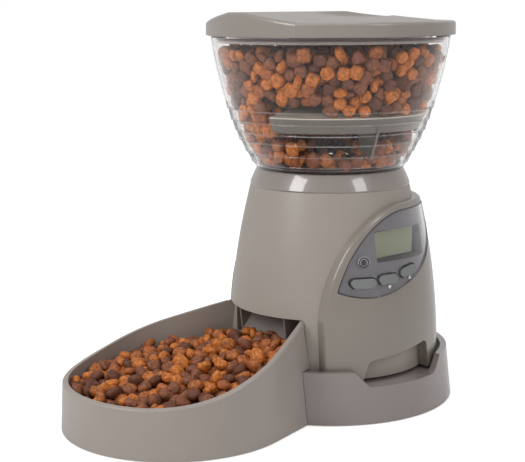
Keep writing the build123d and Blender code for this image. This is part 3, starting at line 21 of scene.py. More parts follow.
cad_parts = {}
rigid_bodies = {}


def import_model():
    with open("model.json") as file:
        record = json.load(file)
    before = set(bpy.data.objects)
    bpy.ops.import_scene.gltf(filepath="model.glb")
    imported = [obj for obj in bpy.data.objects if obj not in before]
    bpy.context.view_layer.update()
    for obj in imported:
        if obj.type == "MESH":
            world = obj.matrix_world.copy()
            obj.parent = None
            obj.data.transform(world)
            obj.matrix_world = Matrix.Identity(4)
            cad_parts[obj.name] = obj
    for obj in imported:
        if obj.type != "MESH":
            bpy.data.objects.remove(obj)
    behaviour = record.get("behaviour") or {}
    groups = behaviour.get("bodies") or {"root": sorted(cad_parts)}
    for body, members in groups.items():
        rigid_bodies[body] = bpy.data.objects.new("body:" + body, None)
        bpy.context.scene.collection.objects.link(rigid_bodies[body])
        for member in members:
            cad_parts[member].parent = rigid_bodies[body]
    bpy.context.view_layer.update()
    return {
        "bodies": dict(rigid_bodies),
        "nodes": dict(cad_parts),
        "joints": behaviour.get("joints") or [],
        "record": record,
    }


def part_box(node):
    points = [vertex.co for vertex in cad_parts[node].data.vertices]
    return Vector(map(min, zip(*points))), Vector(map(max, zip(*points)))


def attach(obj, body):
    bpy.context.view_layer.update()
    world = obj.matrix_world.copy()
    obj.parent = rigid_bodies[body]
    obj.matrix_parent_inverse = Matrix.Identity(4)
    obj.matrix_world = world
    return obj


log = logging.getLogger("pet_feeder")

MM = 0.001
WELD = 1e-6  # Points closer than this, in metres, become one.
PICTURE_WIDTH = 525  # In pixels.

# Fine surface of the finishes.
BUMP_DETAIL = 3.0
SHADE_DETAIL = 4.0
SHADE_SCALE = 24.0  # Patches of colour per metre.
BAKED_SHADE_SCALE = 380.0
SHADE_STOPS = (0.3, 0.7)
BAND_STOPS = (0.2, 0.8)
BAND_BLEND = 1.0 * MM  # Height over which a band's colour changes.
GRAIN_STRETCH = 0.06
SHEEN_ROUGHNESS = 0.35

Color = tuple[float, float, float]
Line = tuple[tuple[float, float], ...]
Draw = Callable[[int], np.ndarray]
Surface = Callable[[np.ndarray], np.ndarray]
Mesh = bmesh.types.BMesh
Socket = bpy.types.NodeSocket
Tree = bpy.types.NodeTree
Vert = bmesh.types.BMVert


def mm(*rows: tuple[float, ...]) -> tuple[tuple[float, ...], ...]:
    """Rows of numbers in metres, from rows in millimetres."""
    return tuple(tuple(value * MM for value in row) for row in rows)


class Texture(Enum):
    """Fine surface of a finish."""

    MOULDED = "moulded"
    CLEAR = "clear"
    BRUSHED = "brushed"
    BAKED = "baked"
    BANDED = "banded"


class Body(Enum):
    """Moving bodies that new pieces ride on."""

    TOWER = "tower"
    HOPPER = "hopper_unit"
    LID = "lid_unit"
    BOWL = "bowl_unit"


def rgb(*levels: int) -> Color:
    """Linear colour of a display colour, from its red, green and blue, 0 to 255."""
    shares = (level / 255 for level in levels)
    return tuple(s / 12.92 if s <= 0.04045 else ((s + 0.055) / 1.055) ** 2.4 for s in shares)


@dataclass(frozen=True)
class Finish:
    """Colour and surface of one material.

    Attributes:
        name: Name of the material.
        color: Linear red, green and blue.
        roughness: Roughness of the surface.
        metallic: 1 for bare metal.
        coat: Weight of a clear glossy coat.
        coat_roughness: Roughness of that coat.
        transmission: Weight of clear transmission.
        ior: Index of refraction.
        sheen: Weight of the pale haze at a glancing angle.
        texture: Kind of fine surface.
        texture_size: Distance between its features, in metres.
        texture_depth: Height of its features, in metres.
        mottle: How far the colour strays from the plain one, as a share.
        band_height: Height above which a banded finish takes its second colour, in metres.
        band_color: That second colour.
    """

    name: str
    color: Color
    roughness: float = 0.4
    metallic: float = 0.0
    coat: float = 0.0
    coat_roughness: float = 0.04
    transmission: float = 0.0
    ior: float = 1.48
    sheen: float = 0.0
    texture: Texture = Texture.MOULDED
    texture_size: float = 0.9 * MM
    texture_depth: float = 0.012 * MM
    mottle: float = 0.03
    band_height: float = 0.0
    band_color: Color = (0.5, 0.5, 0.5)

    def build(self) -> bpy.types.Material:
        """Makes the material, or returns it where it's already made."""
        made = bpy.data.materials.get(self.name)
        if made:
            return made
        material = bpy.data.materials.new(self.name)
        material.use_nodes = True
        shader = material.node_tree.nodes["Principled BSDF"]
        values = {
            "Base Color": (*self.color, 1.0), "Roughness": self.roughness,
            "Metallic": self.metallic, "IOR": self.ior, "Coat Weight": self.coat,
            "Coat Roughness": self.coat_roughness, "Transmission Weight": self.transmission,
            "Sheen Weight": self.sheen, "Sheen Roughness": SHEEN_ROUGHNESS,
        }
        for socket, value in values.items():
            shader.inputs[socket].default_value = value
        self._add_texture(material.node_tree, shader)
        return material

    def _add_texture(self, tree: Tree, shader: bpy.types.Node) -> None:
        """Adds the fine bumps, and the change of colour where the finish isn't clear.

        Args:
            tree: Nodes of the material.
            shader: Its main shader node.
        """
        place = tree.nodes.new("ShaderNodeTexCoord").outputs["Object"]
        mapping = tree.nodes.new("ShaderNodeMapping")
        if self.texture is Texture.BRUSHED:
            mapping.inputs["Scale"].default_value = (1.0, 1.0, GRAIN_STRETCH)
        tree.links.new(place, mapping.inputs["Vector"])
        grain = mapping.outputs["Vector"]
        bump = tree.nodes.new("ShaderNodeBump")
        bump.inputs["Strength"].default_value = 1.0
        bump.inputs["Distance"].default_value = self.texture_depth
        bumps = add_noise(tree, grain, 1 / self.texture_size, BUMP_DETAIL)
        tree.links.new(bumps, bump.inputs["Height"])
        tree.links.new(bump.outputs["Normal"], shader.inputs["Normal"])
        if self.texture is Texture.CLEAR:
            return
        ramp = tree.nodes.new("ShaderNodeValToRGB")
        low, high = ramp.color_ramp.elements
        low.color = (*(c * (1 - self.mottle) for c in self.color), 1.0)
        if self.texture is Texture.BANDED:
            low.position, high.position = BAND_STOPS
            high.color = (*self.band_color, 1.0)
            split = tree.nodes.new("ShaderNodeSeparateXYZ")
            band = tree.nodes.new("ShaderNodeMapRange")
            band.inputs["From Min"].default_value = self.band_height
            band.inputs["From Max"].default_value = self.band_height + BAND_BLEND
            tree.links.new(place, split.inputs["Vector"])
            tree.links.new(split.outputs["Z"], band.inputs["Value"])
            shade = band.outputs["Result"]
        else:
            low.position, high.position = SHADE_STOPS
            high.color = (*(min(1.0, c * (1 + self.mottle)) for c in self.color), 1.0)
            scale = BAKED_SHADE_SCALE if self.texture is Texture.BAKED else SHADE_SCALE
            shade = add_noise(tree, grain, scale, SHADE_DETAIL)
        tree.links.new(shade, ramp.inputs["Fac"])
        tree.links.new(ramp.outputs["Color"], shader.inputs["Base Color"])


def add_noise(tree: Tree, place: Socket, scale: float,
              detail: float) -> Socket:
    """Adds a noise texture.

    Args:
        tree: Nodes of the material.
        place: Place that it's read at.
        scale: Its features per metre.
        detail: How much finer detail it has.

    Returns:
        The noise, from 0 to 1.
    """
    noise = tree.nodes.new("ShaderNodeTexNoise")
    noise.inputs["Scale"].default_value = scale
    noise.inputs["Detail"].default_value = detail
    tree.links.new(place, noise.inputs["Vector"])
    return noise.outputs["Fac"]


def show_to_camera(tree: Tree, plain: Socket,
                   shown: Socket, surface: Socket) -> None:
    """Gives one shader to camera rays, also through clear pieces, and another to the rest.

    Args:
        tree: Nodes of the world or the material.
        plain: Shader for all other rays.
        shown: Shader for camera and transmission rays.
        surface: Output that takes the result.
    """
    path = tree.nodes.new("ShaderNodeLightPath")
    either = tree.nodes.new("ShaderNodeMath")
    either.operation = "MAXIMUM"
    mix = tree.nodes.new("ShaderNodeMixShader")
    tree.links.new(path.outputs["Is Camera Ray"], either.inputs[0])
    tree.links.new(path.outputs["Is Transmission Ray"], either.inputs[1])
    tree.links.new(either.outputs[0], mix.inputs["Fac"])
    tree.links.new(plain, mix.inputs[1])
    tree.links.new(shown, mix.inputs[2])
    tree.links.new(mix.outputs[0], surface)


HOUSING = Finish("housing_satin", rgb(151, 143, 135), 0.36)
JACKET = Finish("jacket_satin", rgb(130, 122, 114), 0.25, coat=0.6, coat_roughness=0.07)
TRAY = Finish("tray_gloss", rgb(129, 119, 116), 0.24, coat=0.9, coat_roughness=0.03)
DISH = Finish("bowl_satin", rgb(149, 140, 133), 0.34)
LID = Finish("lid_satin", rgb(138, 130, 123), 0.3, coat=0.4, coat_roughness=0.06)
COLLAR = Finish("collar_polish", rgb(135, 126, 120), 0.3, coat=1.0, coat_roughness=0.03)
CLEAR = Finish(
    "clear_hopper", (0.985, 0.975, 0.965), 0.015, transmission=1.0, ior=1.25, sheen=0.7,
    texture=Texture.CLEAR, texture_size=22 * MM, texture_depth=0.05 * MM,
)
STEP = Finish(
    "clear_step", (0.97, 0.96, 0.955), 0.16, coat=0.8, coat_roughness=0.05, transmission=1.0,
    ior=1.16, sheen=0.6, texture=Texture.CLEAR, texture_size=22 * MM, texture_depth=0.02 * MM,
)
# The paler band above 272.6 mm is a painted highlight: it lights the hood's upper slope, which the
# kibble resting on it shades.
HOOD_PAINTED_LIGHT = Finish(
    "hood_painted_light", rgb(104, 98, 91), 0.35, texture=Texture.BANDED, band_height=272.6 * MM,
    band_color=rgb(206, 200, 190),
)
INNER = Finish("inner_satin", rgb(96, 89, 86), 0.5)
WHEEL = Finish("wheel_satin", rgb(190, 187, 182), 0.45)
GEAR = Finish("gear_nylon", rgb(226, 222, 208), 0.4)
BRONZE = Finish("bush_bronze", rgb(190, 150, 90), 0.3, metallic=1.0, texture=Texture.BRUSHED)
STEEL = Finish("plain_steel", rgb(170, 170, 172), 0.3, metallic=1.0, texture=Texture.BRUSHED)
RUBBER = Finish("foot_rubber", rgb(30, 30, 30), 0.8, texture_depth=0.04 * MM)
LENS = Finish(
    "panel_lens_tint", (0.86, 0.85, 0.88), 0.03, transmission=1.0, texture=Texture.CLEAR,
    texture_size=30 * MM, texture_depth=0.02 * MM,
)
BACKING = Finish("panel_grey", rgb(127, 123, 124), 0.4)
CHUTE = Finish("chute_grey", rgb(122, 111, 106), 0.45)
BEZEL = Finish("bezel_grey", rgb(98, 96, 92), 0.5)
BLACK = Finish("switch_black", rgb(26, 26, 26), 0.4)
DISPLAY = Finish("display_green", rgb(154, 159, 122), 0.3)
DISPLAY_EDGE = Finish("display_edge", rgb(62, 61, 57), 0.7)
LAMP = Finish("lamp_lens", rgb(52, 44, 52), 0.1, coat=1.0)
LAMP_EDGE = Finish("lamp_edge", rgb(158, 156, 168), 0.2, coat=0.6)
BUTTON = Finish("button_satin", rgb(118, 120, 120), 0.26)
# Dark seam round the panel, and the strips beside the buttons, which are partly painted shade in
# their gaps.
SEAM_AND_GAP_SHADE = Finish("seam_and_gap_shade", rgb(34, 31, 33), 0.6)
BOARD = Finish("board_green", rgb(24, 92, 44), 0.4, mottle=0.25)
CELL = Finish(
    "cell_wrap", rgb(38, 40, 48), 0.3, coat=0.4, texture=Texture.BANDED, band_height=86.0 * MM,
    band_color=rgb(176, 178, 182),
)
# Painted shadow: a dark band just under the lid's edge, where the lid shades the clear rim.
LID_SHADOW = Finish("lid_edge_painted_shadow", rgb(84, 70, 72), 0.5)
FOOT_SHADE = Finish("foot_shade", rgb(58, 46, 46), 0.6)
MARK = Finish("mark_white", rgb(236, 234, 230), 0.5)
FOOD_SHADE = Finish("food_shade", rgb(44, 30, 26), 0.9, mottle=0.3)
FOODS = tuple(
    Finish(name, color, 0.62, texture=Texture.BAKED, texture_size=1.2 * MM,
           texture_depth=0.42 * MM, mottle=0.55)
    for name, color in (
        ("food_orange", rgb(182, 104, 38)), ("food_tan", rgb(154, 86, 37)),
        ("food_mauve", rgb(122, 70, 43)), ("food_brown", rgb(97, 52, 30)),
    )
)
FOOD_SHARES = (0.36, 0.2, 0.26, 0.18)


def add_object(name: str, data: bpy.types.ID) -> bpy.types.Object:
    """Adds an object to the scene."""
    made = bpy.data.objects.new(name, data)
    bpy.context.scene.collection.objects.link(made)
    return made


def mesh_data(name: str, mesh: Mesh) -> bpy.types.Mesh:
    """Turns a bmesh into mesh data.

    Args:
        name: Name of the data.
        mesh: The bmesh. It is freed.

    Returns:
        The mesh data.
    """
    data = bpy.data.meshes.new(name)
    mesh.to_mesh(data)
    mesh.free()
    return data


def link_piece(name: str, data: bpy.types.ID, body: Body, finishes: Sequence[Finish]) -> None:
    """Adds a piece to the scene and has it ride on a body.

    Args:
        name: Name of the piece.
        data: Its mesh or curve, already in place.
        body: Body that it moves with.
        finishes: Its materials, in slot order.
    """
    for finish in finishes:
        data.materials.append(finish.build())
    piece = add_object(name, data)
    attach(piece, body.value)


def make_piece(name: str, mesh: Mesh, body: Body, finish: Finish) -> None:
    """Turns a finished bmesh into a smooth piece that rides on a body.

    Args:
        name: Name of the piece.
        mesh: Its shape, already in place. It is freed.
        body: Body that it moves with.
        finish: Its material.
    """
    for face in mesh.faces:
        face.smooth = True
    data = mesh_data(name, mesh)
    link_piece(name, data, body, (finish,))
    log.info("made %s with %d faces", name, len(data.polygons))


def solid_mesh(node: bpy.types.Object) -> Mesh:
    """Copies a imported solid's mesh.

    Args:
        node: The solid.

    Returns:
        The copy, in the shared frame.
    """
    mesh = bmesh.new()
    mesh.from_mesh(node.data)
    mesh.transform(node.matrix_world)
    return mesh


def solid_tree(node: bpy.types.Object) -> BVHTree:
    """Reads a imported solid's surface.

    Args:
        node: The solid.

    Returns:
        Its search tree, in the shared frame.
    """
    mesh = solid_mesh(node)
    tree = BVHTree.FromBMesh(mesh)
    mesh.free()
    return tree


def spin_round(mesh: Mesh, section: list, steps: int, axis_y: float = 0.0) -> None:
    """Spins a section all the way round an upright axis.

    Args:
        mesh: Mesh that holds the section.
        section: The section's vertices and edges.
        steps: Number of steps round the axis.
        axis_y: Place of the axis along Y.
    """
    bmesh.ops.spin(
        mesh, geom=section, cent=(0, axis_y, 0), axis=(0, 0, 1), angle=math.tau, steps=steps,
        use_merge=True,
    )
    bmesh.ops.remove_doubles(mesh, verts=mesh.verts, dist=WELD)
    bmesh.ops.recalc_face_normals(mesh, faces=mesh.faces)


def turned_mesh(line: Sequence[tuple[float, float]], steps: int, axis_y: float = 0.0,
                closed: bool = True) -> Mesh:
    """Turns a line round an upright axis.

    Args:
        line: Radius and height of each corner, in order.
        steps: Number of steps round the axis.
        axis_y: Place of the axis along Y.
        closed: Whether the last corner joins the first.

    Returns:
        The turned shape.
    """
    mesh = bmesh.new()
    verts = [mesh.verts.new((radius, axis_y, height)) for radius, height in line]
    pairs = zip(verts, verts[1:] + verts[:1] if closed else verts[1:])
    edges = [mesh.edges.new(pair) for pair in pairs]
    spin_round(mesh, verts + edges, steps, axis_y)
    return mesh


@dataclass
class Solids:
    """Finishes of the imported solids."""

    frame: dict
    finishes: tuple[tuple[Finish, str], ...] = (
        (TRAY, "tray_base"), (DISH, "bowl"), (HOUSING, "tower_housing"), (JACKET, "jacket"),
        (COLLAR, "collar"), (CLEAR, "hopper"), (HOOD_PAINTED_LIGHT, "feed_baffle"), (LID, "lid"),
        (CHUTE, "chute"), (WHEEL, "rotor"), (BRONZE, "shaft_bush"), (CELL, "d_cells"),
        (LENS, "panel_lens"), (BACKING, "panel_backing"), (BEZEL, "display_bezel"),
        (DISPLAY, "lcd_module"), (LAMP, "status_led"), (BOARD, "control_board"),
        (BLACK, "key_switches"), (RUBBER, "tray_feet bowl_feet"),
        (BUTTON, "enter_button down_button up_button"),
        (GEAR, "drive_gear idler_gear motor_pinion"),
        (INNER, "portion_cup gear_plate base_plate battery_cover"),
        (STEEL, "rotor_shaft idler_axle gear_motor battery_contacts"),
        (STEEL, "cup_screws gear_plate_screws chute_screws base_screws cover_screws board_screws"),
    )

    def dress(self) -> None:
        """Puts each solid's finish in its material slots."""
        for finish, names in self.finishes:
            for name in names.split():
                materials = self.frame["nodes"][name].data.materials
                for index in range(len(materials)):
                    materials[index] = finish.build()
                log.info("dressed %s in %s", name, finish.name)


class Cut(Enum):
    """Outline of one kind of kibble, with its share of the food."""

    ROUND = 0.34
    SQUARE = 0.36
    TRIANGLE = 0.3


class Basin:
    """Inside of the bowl. Places are about the tower's axis."""

    front = -280.0 * MM
    rear = -72.0 * MM
    stations = 53
    low = 20.0 * MM
    high = 90.0 * MM
    rise = 5.0 * MM
    above = 0.3

    def __init__(self, node: bpy.types.Object, axis_y: float) -> None:
        """Measures the bowl.

        Args:
            node: Packed bowl.
            axis_y: Place of the tower's axis along Y.
        """
        self.axis_y = axis_y
        self.tree = solid_tree(node)
        self.steps = np.linspace(self.front, self.rear, self.stations)
        self.widths = np.array([self._narrowest(y) for y in self.steps])

    def _narrowest(self, y: float) -> float:
        """Measures the bowl across.

        Args:
            y: Distance behind the axis.

        Returns:
            Least half-width between the walls.
        """
        side = Vector((1.0, 0.0, 0.0))
        found = [
            self.tree.ray_cast(Vector((0.0, y + self.axis_y, height)), side)[0]
            for height in np.arange(self.low, self.high, self.rise)
        ]
        return min((point.x for point in found if point is not None), default=0.0)

    def half_width(self, y: np.ndarray) -> np.ndarray:
        """Half-width at each distance along the bowl."""
        return np.interp(y, self.steps, self.widths)

    def floor(self, spots: np.ndarray) -> np.ndarray:
        """Measures the height of the bowl's inside.

        Args:
            spots: Places, one row each.

        Returns:
            The height at each place.
        """
        down = Vector((0.0, 0.0, -1.0))
        hits = [
            self.tree.ray_cast(Vector((x, y + self.axis_y, self.above)), down)[0]
            for x, y in spots
        ]
        return np.array([hit.z if hit is not None else 0.0 for hit in hits])


@dataclass
class Kibble:
    """Loose dry food. Places are about the tower's axis."""

    axis_y: float
    across: float = 13.6 * MM
    thickness: float = 8.0 * MM
    rings: int = 6
    side_power: float = 0.6
    face_power: float = 0.8
    square_power: float = 0.5  # 1 is a true square.
    corner_swell: float = 0.16
    lump: float = 0.05
    sizes: tuple[float, float] = (0.86, 1.1)
    tilt: float = 0.3
    spacing: float = 10.2 * MM
    wall_gap: float = 5.4 * MM
    half_piece: float = 5.0 * MM  # Height of a centre above what it rests on.
    most: int = 1500
    tries: int = 26
    patience: int = 60  # Misses in a row that end a layer.
    seed: int = 7

    def __post_init__(self) -> None:
        """Starts the random numbers."""
        self.rng = np.random.default_rng(self.seed)

    def settle(self, draw: Draw, floor: Surface, level: Surface) -> np.ndarray:
        """Drops pieces one at a time into the lowest free place of several.

        Args:
            draw: Gives random places in the plane.
            floor: Lowest centre height at each place.
            level: Highest centre height allowed at each place.

        Returns:
            Centres of the pieces, one row each.
        """
        placed = np.empty((self.most, 3))
        count = 0
        misses = 0
        while count < self.most and misses < self.patience:
            spots = draw(self.tries)
            heights = floor(spots)
            if count:
                near = placed[:count]
                gap = ((spots[:, None, :] - near[None, :, :2]) ** 2).sum(axis=2)
                rise = np.sqrt(np.maximum(self.spacing**2 - gap, 0.0))
                resting = np.where(gap < self.spacing**2, near[None, :, 2] + rise, -np.inf)
                heights = np.maximum(heights, resting.max(axis=1))
            room = level(spots) - heights
            best = int(np.argmax(np.where(room > 0, -heights, -np.inf)))
            if room[best] <= 0:
                misses += 1
                continue
            placed[count] = (*spots[best], heights[best])
            count += 1
            misses = 0
        return placed[:count]

    def shape(self, cut: Cut) -> Mesh:
        """Makes one piece of kibble, centred on the origin and lying flat.

        Args:
            cut: Its outline.

        Returns:
            Its shape.
        """
        mesh = bmesh.new()
        sides = 9 if cut is Cut.TRIANGLE else 8
        bmesh.ops.create_uvsphere(mesh, u_segments=sides, v_segments=self.rings, radius=1.0)
        for vertex in mesh.verts:
            x, y, z = vertex.co
            angle = math.atan2(y, x)
            ring = math.hypot(x, y)
            if cut is Cut.TRIANGLE:
                swell = 1.0 + self.corner_swell * math.cos(3 * angle)
            elif cut is Cut.SQUARE:
                longest = max(abs(math.cos(angle)), abs(math.sin(angle)))
                swell = 1.0 / longest**self.square_power
            else:
                swell = 1.0
            flat = ring**self.side_power if ring > 0 else 0.0
            lump = 1.0 + self.rng.uniform(-self.lump, self.lump)
            reach = 0.5 * self.across * swell * flat * lump
            height = math.copysign(abs(z) ** self.face_power, z)
            vertex.co = (
                reach * math.cos(angle), reach * math.sin(angle),
                0.5 * self.thickness * lump * height,
            )
        return mesh

    def stamps(self) -> dict[tuple[Cut, int], bpy.types.Mesh]:
        """One small mesh for each outline in each colour of food."""
        made = {}
        for cut in Cut:
            for tint in range(len(FOODS)):
                mesh = self.shape(cut)
                for face in mesh.faces:
                    face.smooth = True
                    face.material_index = tint
                made[cut, tint] = mesh_data("kibble_stamp", mesh)
        return made

    def scatter(self, name: str, body: Body, centers: np.ndarray, facing: np.ndarray) -> None:
        """Builds one piece of many kibbles.

        Args:
            name: Name of the piece.
            body: Body that it rides on.
            centers: Centre of each kibble.
            facing: Direction that each flat side faces.
        """
        rng = self.rng
        stamps = self.stamps()
        cuts = list(Cut)
        shares = [cut.value for cut in cuts]
        heap = bmesh.new()
        for center, direction in zip(centers + np.array([0, self.axis_y, 0]), facing):
            cut = cuts[int(rng.choice(len(cuts), p=shares))]
            tint = int(rng.choice(len(FOODS), p=FOOD_SHARES))
            start = len(heap.verts)
            heap.from_mesh(stamps[cut, tint])
            heap.verts.ensure_lookup_table()
            turn = Vector(direction).to_track_quat("Z", "Y").to_matrix()
            lean = (
                Matrix.Rotation(rng.uniform(-self.tilt, self.tilt), 3, "X")
                @ Matrix.Rotation(rng.uniform(-self.tilt, self.tilt), 3, "Y")
            )
            spin = Matrix.Rotation(rng.uniform(0, math.tau), 3, "Z")
            pose = (turn @ lean @ spin).to_4x4() * rng.uniform(*self.sizes)
            pose[3][3] = 1.0
            pose.translation = Vector(center)
            bmesh.ops.transform(heap, matrix=pose, verts=heap.verts[start:])
        for stamp in stamps.values():
            bpy.data.meshes.remove(stamp)
        link_piece(name, mesh_data(name, heap), body, FOODS)
        log.info("poured %d kibbles as %s", len(centers), name)


def polar(spots: np.ndarray) -> tuple[np.ndarray, np.ndarray]:
    """Radius and angle of each place."""
    return np.hypot(spots[:, 0], spots[:, 1]), np.arctan2(spots[:, 1], spots[:, 0])


def turn_between(angle: np.ndarray, direction: float) -> np.ndarray:
    """Turn of each angle away from a direction, 0 to pi."""
    return np.abs((angle - direction + math.pi) % math.tau - math.pi)


@dataclass
class HopperFood(Kibble):
    """Food in the hopper: the layers that show, and a dark core behind them."""

    wall_line: Line = mm(
        (224.6, 67.4), (237.0, 76.5), (250.0, 83.4), (267.0, 90.4), (284.5, 96.2),
        (315.0, 104.1), (345.0, 109.3),
    )
    hood_apex: float = 291.0 * MM
    hood_slope: float = 0.175  # Fall for each metre outwards.
    window_direction: float = math.radians(250)  # The second window is opposite.
    window_half: float = math.radians(35)
    window_inset: float = 0.06  # Angle kept from a window's sides.
    window_reach: float = 56.0 * MM  # Radius at which the windows start.
    upper_foot: float = 228.0 * MM
    lower_foot: float = 229.0 * MM
    rib_direction: float = math.radians(-10)
    rib_clear_half: float = math.radians(26)
    rib_clear_height: float = 239.0 * MM
    under_height: float = 250.0 * MM
    fill_height: float = 337.0 * MM
    upper_wave: float = 3.0 * MM
    upper_wave_sizes: tuple[float, float] = (0.03, 0.04)
    lower_wave: float = 2.0 * MM
    lower_wave_size: float = 0.02
    upper_inner: float = 66.0 * MM
    lower_inner: float = 44.0 * MM
    top_outer: float = 68.0 * MM
    top_depth: float = 16.0 * MM
    bare_direction: float = math.radians(-59)  # Where the hood's slope stays bare.
    bare_half: float = math.radians(20)
    bare_inner: float = 60.0 * MM
    bare_depth: float = 12.0 * MM
    facing_reach: float = 9.0 * MM  # How near the wall a piece lies against it.
    facing_share: float = 0.78
    facing_fall: float = 0.35
    core_line: Line = mm((0.0, 297.0), (62.0, 287.0), (72.0, 300.0), (80.0, 321.0), (0.0, 321.0))
    core_steps: int = 40

    def wall(self, height: float) -> float:
        """Inside radius of the clear wall at a height."""
        heights, radii = zip(*self.wall_line)
        return float(np.interp(height, heights, radii))

    def wall_floor(self, radius: np.ndarray) -> np.ndarray:
        """Height at which the clear wall reaches a radius."""
        heights, radii = zip(*self.wall_line)
        return np.interp(radius, radii, heights)

    def hood(self, radius: np.ndarray) -> np.ndarray:
        """Height of the hood at a radius."""
        return self.hood_apex - self.hood_slope * radius

    def facing(self, centers: np.ndarray) -> np.ndarray:
        """Chooses which way each kibble faces: against a wall that is near, or any way.

        Args:
            centers: Centres about the hopper's axis.

        Returns:
            A direction for each kibble.
        """
        walls = np.array([self.wall(z) for z in centers[:, 2]])
        radius, _ = polar(centers)
        fall = np.full(len(centers), -self.facing_fall)
        outward = np.stack([centers[:, 0] / radius, centers[:, 1] / radius, fall], axis=1)
        loose = self.rng.normal(size=(len(centers), 3))
        near = (walls - radius) < self.facing_reach
        flat = near & (self.rng.uniform(size=len(centers)) < self.facing_share)
        return np.where(flat[:, None], outward, loose)

    def ring(self, inner: float, outer: float) -> Draw:
        """Gives random places in a ring about the axis.

        Args:
            inner: Inner radius.
            outer: Outer radius.

        Returns:
            Function that draws a number of places.
        """

        def draw(count: int) -> np.ndarray:
            """Places spread evenly over the ring's area."""
            radius = np.sqrt(self.rng.uniform(inner**2, outer**2, count))
            angle = self.rng.uniform(0, math.tau, count)
            return np.stack([radius * np.cos(angle), radius * np.sin(angle)], axis=1)

        return draw

    def upper_floor(self, spots: np.ndarray) -> np.ndarray:
        """Lowest centre height above the hood, or above the wall's foot in a window.

        Args:
            spots: Places, one row each.

        Returns:
            The height at each place.
        """
        radius, angle = polar(spots)
        half = math.pi / 2
        off = np.abs((angle - self.window_direction + half) % math.pi - half)
        between = off < self.window_half - self.window_inset
        in_window = between & (radius > self.window_reach + self.half_piece)
        hood = np.where(in_window, self.upper_foot, self.hood(radius) + self.half_piece)
        return np.maximum(hood, self.wall_floor(radius + self.wall_gap))

    def lower_floor(self, spots: np.ndarray) -> np.ndarray:
        """Lowest centre height under the hood."""
        radius, _ = polar(spots)
        return np.maximum(self.lower_foot, self.wall_floor(radius + self.wall_gap))

    def top_floor(self, spots: np.ndarray) -> np.ndarray:
        """Lowest centre height of the top layer."""
        return np.full(len(spots), self.fill_height - self.top_depth)

    def upper_level(self, spots: np.ndarray) -> np.ndarray:
        """Fill level above the hood, a little uneven."""
        size_x, size_y = self.upper_wave_sizes
        wave = self.upper_wave * np.sin(spots[:, 0] / size_x) * np.cos(spots[:, 1] / size_y)
        return self.fill_height + wave - self.half_piece

    def lower_level(self, spots: np.ndarray) -> np.ndarray:
        """Fill level under the hood, lower in front of the rib.

        Args:
            spots: Places, one row each.

        Returns:
            The highest centre height at each place.
        """
        _, angle = polar(spots)
        off = turn_between(angle, self.rib_direction - self.rib_clear_half)
        level = np.where(off < self.rib_clear_half, self.rib_clear_height, self.under_height)
        wave = self.lower_wave * np.sin(spots[:, 0] / self.lower_wave_size)
        return level + wave - self.half_piece

    def bare(self, centers: np.ndarray) -> np.ndarray:
        """Finds the kibbles in the stretch where the hood's slope stays bare.

        Args:
            centers: Centres, one row each.

        Returns:
            Whether each lies there.
        """
        radius, angle = polar(centers)
        off = turn_between(angle, self.bare_direction)
        hood = self.hood(radius)
        over = (centers[:, 2] > hood) & (centers[:, 2] < hood + self.bare_depth)
        return (off < self.bare_half) & (radius > self.bare_inner) & over

    def build(self) -> None:
        """Pours the visible outer layers and the top, then adds the core."""
        upper = self.ring(self.upper_inner, self.wall(self.fill_height) - self.wall_gap)
        lower = self.ring(self.lower_inner, self.wall(self.under_height) - self.wall_gap)
        layers = (
            ("hopper_food_upper", upper, self.upper_floor, self.upper_level),
            ("hopper_food_lower", lower, self.lower_floor, self.lower_level),
            ("hopper_food_top", self.ring(0.0, self.top_outer), self.top_floor, self.upper_level),
        )
        for name, draw, floor, level in layers:
            centers = self.settle(draw, floor, level)
            centers = centers[~self.bare(centers)]
            self.scatter(name, Body.HOPPER, centers, self.facing(centers))
        core = turned_mesh(self.core_line, self.core_steps, self.axis_y, closed=False)
        make_piece("hopper_food_core", core, Body.HOPPER, FOOD_SHADE)


